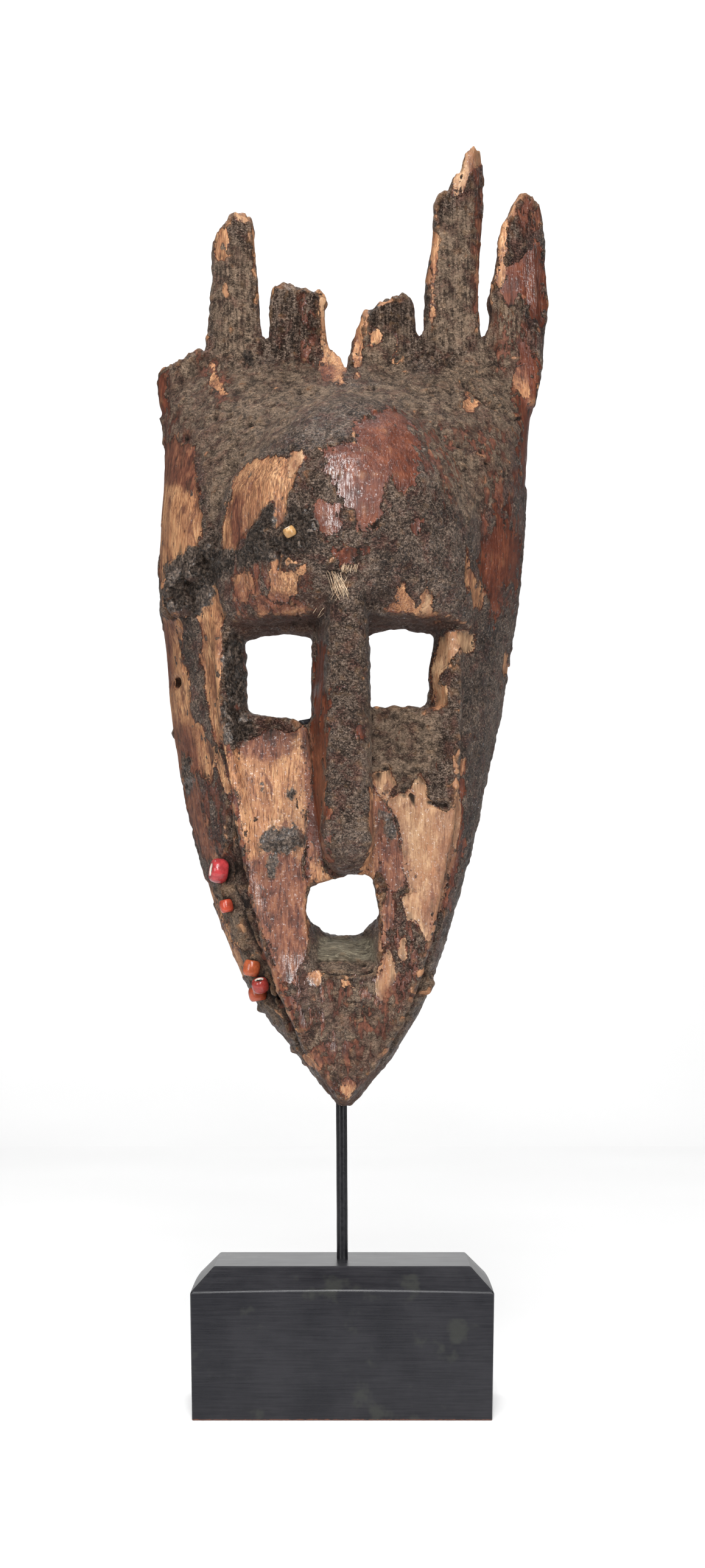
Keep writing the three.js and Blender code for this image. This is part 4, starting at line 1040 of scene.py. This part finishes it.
def mask_material():
    r = Recipe("crusted wood")
    fine = (r.noise(1.4, 4, 0.65) - 0.5) * 4.6
    hidden = r.attribute("hidden")
    shown = 1.0 - hidden
    chips_and_shade_allowed = 1.0 - r.step(r.attribute("even"), -1.0, 2.0)
    worn_fields, bare_share, pale_share, polish_share, wax_share = finish_shares(r, fine, shown, chips_and_shade_allowed)
    bare_wood, pale_wood, red_wood, grain = wood_colours(r)
    red_share = r.step(r.attribute("red") + fine * 2.0, -3, 3)
    crust, dust, crust_relief = crust_colours(r, red_share)
    polish_grain = r.noise(1.6, 4, 0.6, (1, 1, 0.12), 0.3)
    polish = r.ramp(polish_grain * 0.5 + r.noise(9, 4, 0.6) * 0.5, [
        (0.33, POLISH_DARK), (0.50, POLISH_MID), (0.66, POLISH_LIGHT)])
    wax = r.ramp(r.noise(1.6, 4, 0.7), [(0.44, WAX_DARK), (0.68, WAX_LIGHT)])
    greyed_and_lit = r.ramp(r.noise(0.9, 4, 0.6, (0.10, 1, 1)), [(0.40, LIT_GREY_DARK), (0.60, LIT_GREY_LIGHT)])
    rear = r.ramp(grain * 0.5 + r.noise(16, 4) * 0.5, [(0.42, REAR_DARK), (0.58, REAR_LIGHT)])

    # Colour, from the crust up to what lies on it
    dusty = r.step(r.attribute("dust") + r.noise(5, 3) * 4, -2.0, 6.0) * 0.8
    colour = r.mix(dusty, crust, dust)
    colour = r.mix(polish_share, colour, polish)
    colour = r.mix(bare_share, colour, r.mix(red_share * 0.92, bare_wood, red_wood))
    colour = r.mix(pale_share, colour, r.mix(red_share * 0.6, pale_wood, red_wood))
    colour = r.mix(wax_share, colour, wax)
    # Painted shadow: a thin dark line along the edges of the worn places, where the crust's raised edge would
    # cast shade
    shadow_line_spots = r.step(r.noise(3.5, 3), 0.46, 0.58) * 0.8 * shown
    for field in worn_fields:
        crust_edge_shadow = r.step(abs(field + fine + 0.25), 0.75, 0.1)
        colour = r.mix(crust_edge_shadow * shadow_line_spots, colour, CRUST_DARK)
    colour = r.mix(r.attribute("broken") * 0.6, colour, bare_wood)
    colour = r.mix(hidden, colour, rear)
    # Greyed wood on the mouth floor: its own grey, painted lighter to stand in for light falling on the floor
    colour = r.mix(r.attribute("greyed_and_lit"), colour, greyed_and_lit)
    # Painted shade: the colour turns dark in recesses and under faces that look down, less so in even places
    painted_recess_shade = r.step(r.attribute("recess_shade_amount"), 0.22, 0.75) * (chips_and_shade_allowed * 0.75 + 0.25)
    colour = r.mix(painted_recess_shade * 0.66, colour, PAINTED_SHADE)
    colour = paint_hollow_shade_and_wear(r, colour, wax_share)

    # Relief in millimetres
    crusted = 1.0 - r.largest(bare_share, pale_share, polish_share, hidden)
    relief = crusted * crust_relief + grain * 0.7 + r.noise(2.2, 3, 0.6) * 0.5 + crusted * 0.5

    # Gloss
    rough = r.noise(5, 3) * 0.3 + 0.23 - polish_share * 0.05 - wax_share * 0.1 + painted_recess_shade * 0.6
    rough = rough + r.largest(bare_share, pale_share) * 0.2 + r.largest(dusty, hidden) * 0.3
    return r.finish(colour, rough, relief * MM, **{
        "Specular IOR Level": 0.32, "Coat Weight": glossy_coat(r, fine, polish_share, dusty) * shown,
        "Coat Roughness": 0.2, "Coat IOR": 2.2})


def block_material():
    r = Recipe("black painted wood")
    brushed = r.noise(0.8, 4, 0.6, (0.03, 0.2, 1))
    smudge = r.noise(26, 4, 0.6)
    colour = r.ramp(brushed * 0.5 + smudge * 0.5, [(0.40, BLOCK_DARK), (0.60, BLOCK_LIGHT)])
    clouded = r.step(r.noise(17, 3, 0.6), 0.58, 0.72)
    colour = r.mix(clouded * 0.8, colour, BLOCK_SMUDGE)
    worn = r.step(r.height() + r.noise(3, 4, 0.7) * (-1.6 * MM), 0.1 * MM, -0.3 * MM)
    colour = r.mix(worn * 0.7, colour, BLOCK_WORN_FOOT)
    scuffs = r.step(r.noise(2.2, 5, 0.7, (0.2, 1, 1)), 0.70, 0.76)
    colour = r.mix(scuffs * 0.25, colour, BLOCK_SCUFF)
    rough = (brushed + smudge) * 0.10 + 0.20
    return r.finish(colour, rough, brushed * (0.05 * MM), **{"Specular IOR Level": 0.3})


def rod_material():
    r = Recipe("black steel")
    spots = r.noise(2.5, 4, 0.6)
    colour = r.ramp(spots, [(0.4, ROD_DARK), (0.7, ROD_LIGHT)])
    chips = r.step(r.noise(4, 5, 0.75, (1, 1, 0.4)), 0.68, 0.72)
    colour = r.mix(chips, colour, ROD_CHIP)
    return r.finish(colour, spots * 0.2 + 0.2, spots * (0.05 * MM), **{"Specular IOR Level": 0.3})


def bead_material(name, tint):
    r = Recipe(name)
    cloud = r.noise(2.4, 4, 0.6)
    deep = tuple(0.62 * value for value in tint)
    colour = r.ramp(cloud, [(0.38, deep), (0.62, tint)])
    dirt = r.step(r.noise(1.6, 5, 0.7), 0.60, 0.68)
    colour = r.mix(dirt * 0.6, colour, CRUST_MID)
    colour = r.mix(r.step(r.attribute("core"), 0.45, 0.55), colour, BEAD_CORE)
    colour = r.mix(r.step(r.attribute("bore"), 0.4, 0.6), colour, BEAD_BORE)
    return r.finish(colour, dirt * 0.4 + 0.2, cloud * (0.12 * MM))


def straw_material():
    r = Recipe("straw")
    colour = r.ramp(r.noise(3, 3), [(0.35, STRAW_DARK), (0.6, STRAW_LIGHT)])
    return r.finish(colour, 0.6, r.noise(0.4, 2) * (0.03 * MM))


# Rod

def centripetal(points, count):
    """Smooth curve through points, spaced as the solid's route is."""
    points = np.array(points, float)
    ends = [2 * points[0] - points[1], *points, 2 * points[-1] - points[-2]]
    curve = []
    for p0, p1, p2, p3 in zip(ends, ends[1:], ends[2:], ends[3:]):
        t1 = math.sqrt(np.linalg.norm(p1 - p0))
        t2 = t1 + math.sqrt(np.linalg.norm(p2 - p1))
        t3 = t2 + math.sqrt(np.linalg.norm(p3 - p2))
        for t in np.linspace(t1, t2, count, endpoint=False):
            a1 = (t1 - t) / t1 * p0 + t / t1 * p1
            a2 = (t2 - t) / (t2 - t1) * p1 + (t - t1) / (t2 - t1) * p2
            a3 = (t3 - t) / (t3 - t2) * p2 + (t - t2) / (t3 - t2) * p3
            b1 = (t2 - t) / t2 * a1 + t / t2 * a2
            b2 = (t3 - t) / (t3 - t1) * a2 + (t - t1) / (t3 - t1) * a3
            curve.append((t2 - t) / (t2 - t1) * b1 + (t - t1) / (t2 - t1) * b2)
    return np.array([*curve, points[-1]])


def ring_faces(rings, sides, closed=False):
    """Faces between rings of points, and from the last ring to the first where they close."""
    faces = []
    for ring in range(rings if closed else rings - 1):
        here, there = ring * sides, (ring + 1) % rings * sides
        for j in range(sides):
            k = (j + 1) % sides
            faces.append((here + j, here + k, there + k, there + j))
    return faces


def capped_faces(rings, sides):
    """Faces of a tube of rings that is closed at both ends."""
    last = (rings - 1) * sides
    return [*ring_faces(rings, sides), tuple(reversed(range(sides))), tuple(range(last, last + sides))]


def tube_parts(route, radius, sides, taper=0.0):
    """Vertices and faces of a round tube along a route, closed at both ends."""
    route = np.array(route, float)
    along = np.gradient(route, axis=0)
    along /= np.linalg.norm(along, axis=1)[:, None]
    side = np.cross(along[0], (0, 1, 0) if abs(along[0][1]) < 0.9 else (1, 0, 0))
    points = []
    for i, (middle, forward) in enumerate(zip(route, along)):
        side = side - forward * (side @ forward)
        side /= np.linalg.norm(side)
        other = np.cross(forward, side)
        reach = radius * (1 - taper * i / (len(route) - 1))
        for j in range(sides):
            angle = 2 * math.pi * j / sides
            points.append(middle + reach * (side * math.cos(angle) + other * math.sin(angle)))
    return points, capped_faces(len(route), sides)


def mesh_from(name, points, faces):
    mesh = bpy.data.meshes.new(name)
    mesh.from_pydata([tuple(np.asarray(point) * MM) for point in points], [], faces)
    mesh.update()
    return mesh


def build_rod():
    points, faces = tube_parts(centripetal(ROD_ROUTE, ROD_STEPS), ROD_RADIUS, ROD_SIDES)
    points = np.array(points)
    points += ROD_UNEVENNESS * noise(points, 5, 31)[:, None]
    wedge = TIP_HEIGHT + WEDGE_TOP + WEDGE_SLOPE * (points[:, 0] - ROD_ROUTE[-1][0])
    ending = points[:, 1] < WEDGE_FROM_Y
    points[ending, 2] = np.minimum(points[ending, 2], wedge[ending])
    mesh = mesh_from("mount_rod_steel", points, faces)
    shade_smooth(mesh)
    return new_piece("mount_rod_steel", mesh)


# Block

def build_block():
    """Block with a bowed shoulder line, a chamfer above it and softly rounded edges."""
    low, high = box_corners("stand_block")
    half = (high - low) / 2
    middle = (high + low) / 2
    corners = [(-1, -1), (1, -1), (1, 1), (-1, 1)]
    levels = [(0, FOOT_INSET, FOOT_INSET / 2), (SHOULDER_HEIGHT, 0, 0), (high[2], CHAMFER, CHAMFER)]
    points = []
    for height, inset_x, inset_y in levels:
        for start, end in zip(corners, corners[1:] + corners[:1]):
            for i in range(BLOCK_COLUMNS):
                share = i / BLOCK_COLUMNS
                x = (start[0] + (end[0] - start[0]) * share) * (half[0] - inset_x)
                y = (start[1] + (end[1] - start[1]) * share) * (half[1] - inset_y)
                bow = SHOULDER_BOW * math.sin(math.pi * share) if height == SHOULDER_HEIGHT else 0
                points.append((middle[0] + x, middle[1] + y, height + bow))
    faces = capped_faces(len(levels), 4 * BLOCK_COLUMNS)
    piece = new_piece("stand_block_wood", mesh_from("stand_block_wood", points, faces))
    bevel = piece.modifiers.new("bevel", "BEVEL")
    bevel.width = EDGE_ROUND * MM
    bevel.segments = EDGE_STEPS
    bevel.limit_method = "ANGLE"
    bevel.angle_limit = math.radians(EDGE_ANGLE)
    apply_modifiers(piece)
    return piece


# Beads

def fuller(wave, power):
    """A wave from -1 to 1 made fuller by a power under 1."""
    return math.copysign(abs(wave) ** power, wave)


def build_bead(name, diameter, length, turn, tip, out):
    """Wound glass bead: a fat ring round its bore, a little uneven, with a pale core at its ends."""
    bore = BORE_SHARE * diameter
    wall = (diameter / 2 - bore) / 2
    points, radii = [], []
    for i in range(BEAD_RINGS):
        around = 2 * math.pi * i / BEAD_RINGS
        for j in range(BEAD_SIDES):
            angle = 2 * math.pi * j / BEAD_SIDES
            lengthways = length / 2 * fuller(math.sin(angle), END_FULLNESS)
            radius = bore + wall + wall * fuller(math.cos(angle), RIM_FULLNESS)
            points.append((lengthways, radius * math.cos(around), radius * math.sin(around)))
            radii.append(radius)
    middle = bead_middle(name, out)
    points = np.array(points)
    points *= 1 + BEAD_UNEVENNESS * noise(points + middle, 4, 41)[:, None]
    turned = Matrix.Rotation(math.radians(turn), 3, "Z") @ Matrix.Rotation(math.radians(tip), 3, "Y")
    points = points @ np.array(turned).T + middle
    mesh = mesh_from(name + "_glass", points, ring_faces(BEAD_RINGS, BEAD_SIDES, closed=True))
    add_attribute(mesh, "core", np.array(radii) < PAINTED_CORE * diameter / 2)
    add_attribute(mesh, "bore", np.array(radii) < PAINTED_BORE * diameter / 2)
    shade_smooth(mesh)
    return new_piece(name + "_glass", mesh)


# Straw fibres stuck to the brow

def fibre_route(tree, middle, length, slope, bend, lift):
    """Middle line of a fibre on the wood, as far as the viewing point sees wood behind it."""
    route = []
    for share in np.linspace(-0.5, 0.5, STRAW_STATIONS):
        across = middle[0] + length * share * math.sin(slope) + bend * (share * share - 0.1)
        up = TIP_HEIGHT + middle[1] + length * share * math.cos(slope)
        hit, normal, _, _ = tree.ray_cast(EYE, (Vector((across, 0, up)) * MM - EYE).normalized())
        if hit is not None:
            raised = lift * (1 - 1.6 * share * share) + 0.12
            route.append(np.array(hit) / MM + np.array(normal) * raised)
    return route


def build_straw(mask):
    tree = BVHTree.FromObject(mask, bpy.context.evaluated_depsgraph_get())
    random = np.random.default_rng(STRAW_SEED)
    points, faces = [], []
    for (across, h), half_width, half_height, length, lean, count in STRAW_BUNDLES:
        for _ in range(count):
            middle = (across + half_width * random.uniform(-1, 1), h + half_height * random.uniform(-1, 1))
            reach = length * random.uniform(0.6, 1.1)
            slope = lean + random.normal(0, 0.13)
            bend = random.normal(0, 0.5)
            lift = random.uniform(0.3, 1.0)
            route = fibre_route(tree, middle, reach, slope, bend, lift)
            if len(route) < STRAW_STATIONS:
                continue
            radius = random.uniform(*STRAW_RADII)
            fibre_points, fibre_faces = tube_parts(route, radius, STRAW_SIDES, STRAW_TAPER)
            base = len(points)
            points += fibre_points
            faces += [tuple(base + i for i in face) for face in fibre_faces]
    mesh = mesh_from("straw_fibres", points, faces)
    shade_smooth(mesh)
    return new_piece("straw_fibres", mesh)


# Floor, backdrop and light

def build_stage():
    """Pale floor, and a backdrop that curves up out of it far behind."""
    profile = [(FLOOR_ROWS[-1], 0)]
    for i in range(1, BACKDROP_STEPS + 1):
        angle = math.pi / 2 * i / BACKDROP_STEPS
        back = BACKDROP_BACK - BACKDROP_BEND + BACKDROP_BEND * math.sin(angle)
        profile.append((back, BACKDROP_BEND - BACKDROP_BEND * math.cos(angle)))
    profile.append((BACKDROP_BACK, BACKDROP_TOP))
    add_sheet("studio_backdrop", BACKDROP_HALF_WIDTH, profile)
    add_sheet("studio_floor", FLOOR_HALF_WIDTH, [(y, 0) for y in FLOOR_ROWS])


def add_sheet(name, half_width, profile):
    """A staged sheet with a profile of (y, z) all along its width."""
    points = [(x, y, z) for y, z in profile for x in (-half_width, half_width)]
    faces = [(2 * i, 2 * i + 1, 2 * i + 3, 2 * i + 2) for i in range(len(profile) - 1)]
    sheet = new_piece(name, mesh_from(name, points, faces))
    shade_smooth(sheet.data)
    r = Recipe(name)
    colour = r.ramp(r.noise(400, 2), [(0.4, PAPER_DARK), (0.6, PAPER_LIGHT)])
    sheet.data.materials.append(r.finish(colour, 0.9, **{
        "Emission Color": (1.0, 1.0, 1.0), "Emission Strength": PAPER_GLOW, "Specular IOR Level": 0.0}))


def add_softbox(name, place, target, width, height, power):
    data = bpy.data.lights.new(name, "AREA")
    data.shape = "RECTANGLE"
    data.size, data.size_y = width * MM, height * MM
    data.energy = power
    light = bpy.data.objects.new(name, data)
    light.location = Vector(place) * MM
    light.rotation_euler = (Vector(target) - Vector(place)).to_track_quat("-Z", "Y").to_euler()
    bpy.context.collection.objects.link(light)


def light_scene():
    world = bpy.data.worlds.new("studio")
    world.use_nodes = True
    background = world.node_tree.nodes["Background"]
    background.inputs["Color"].default_value = (1, 1, 1, 1)
    background.inputs["Strength"].default_value = WORLD_STRENGTH
    bpy.context.scene.world = world
    bpy.context.scene.view_settings.view_transform = "Standard"
    for light in LIGHTS:
        add_softbox(*light)


def place_piece(piece, material, slot, *nodes):
    piece.data.materials.clear()
    piece.data.materials.append(material)
    if nodes:
        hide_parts(*nodes)
    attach(piece, "root")


# Scene

make_camera()
build_stage()
light_scene()
mask = build_mask()
place_piece(mask, mask_material(), "crusted_wood", "mask")
place_piece(build_rod(), rod_material(), "black_steel", "mount_rod")
place_piece(build_block(), block_material(), "black_painted_wood", "stand_block")
for bead_name, diameter, length, turn, tip, out, tint in BEADS:
    bead_slot = "pale_seed" if bead_name == "bead_pale" else "red_glass_beads"
    bead = build_bead(bead_name, diameter, length, turn, tip, out)
    place_piece(bead, bead_material(bead_name + " glass", tint), bead_slot, bead_name)
place_piece(build_straw(mask), straw_material(), "pale_seed")
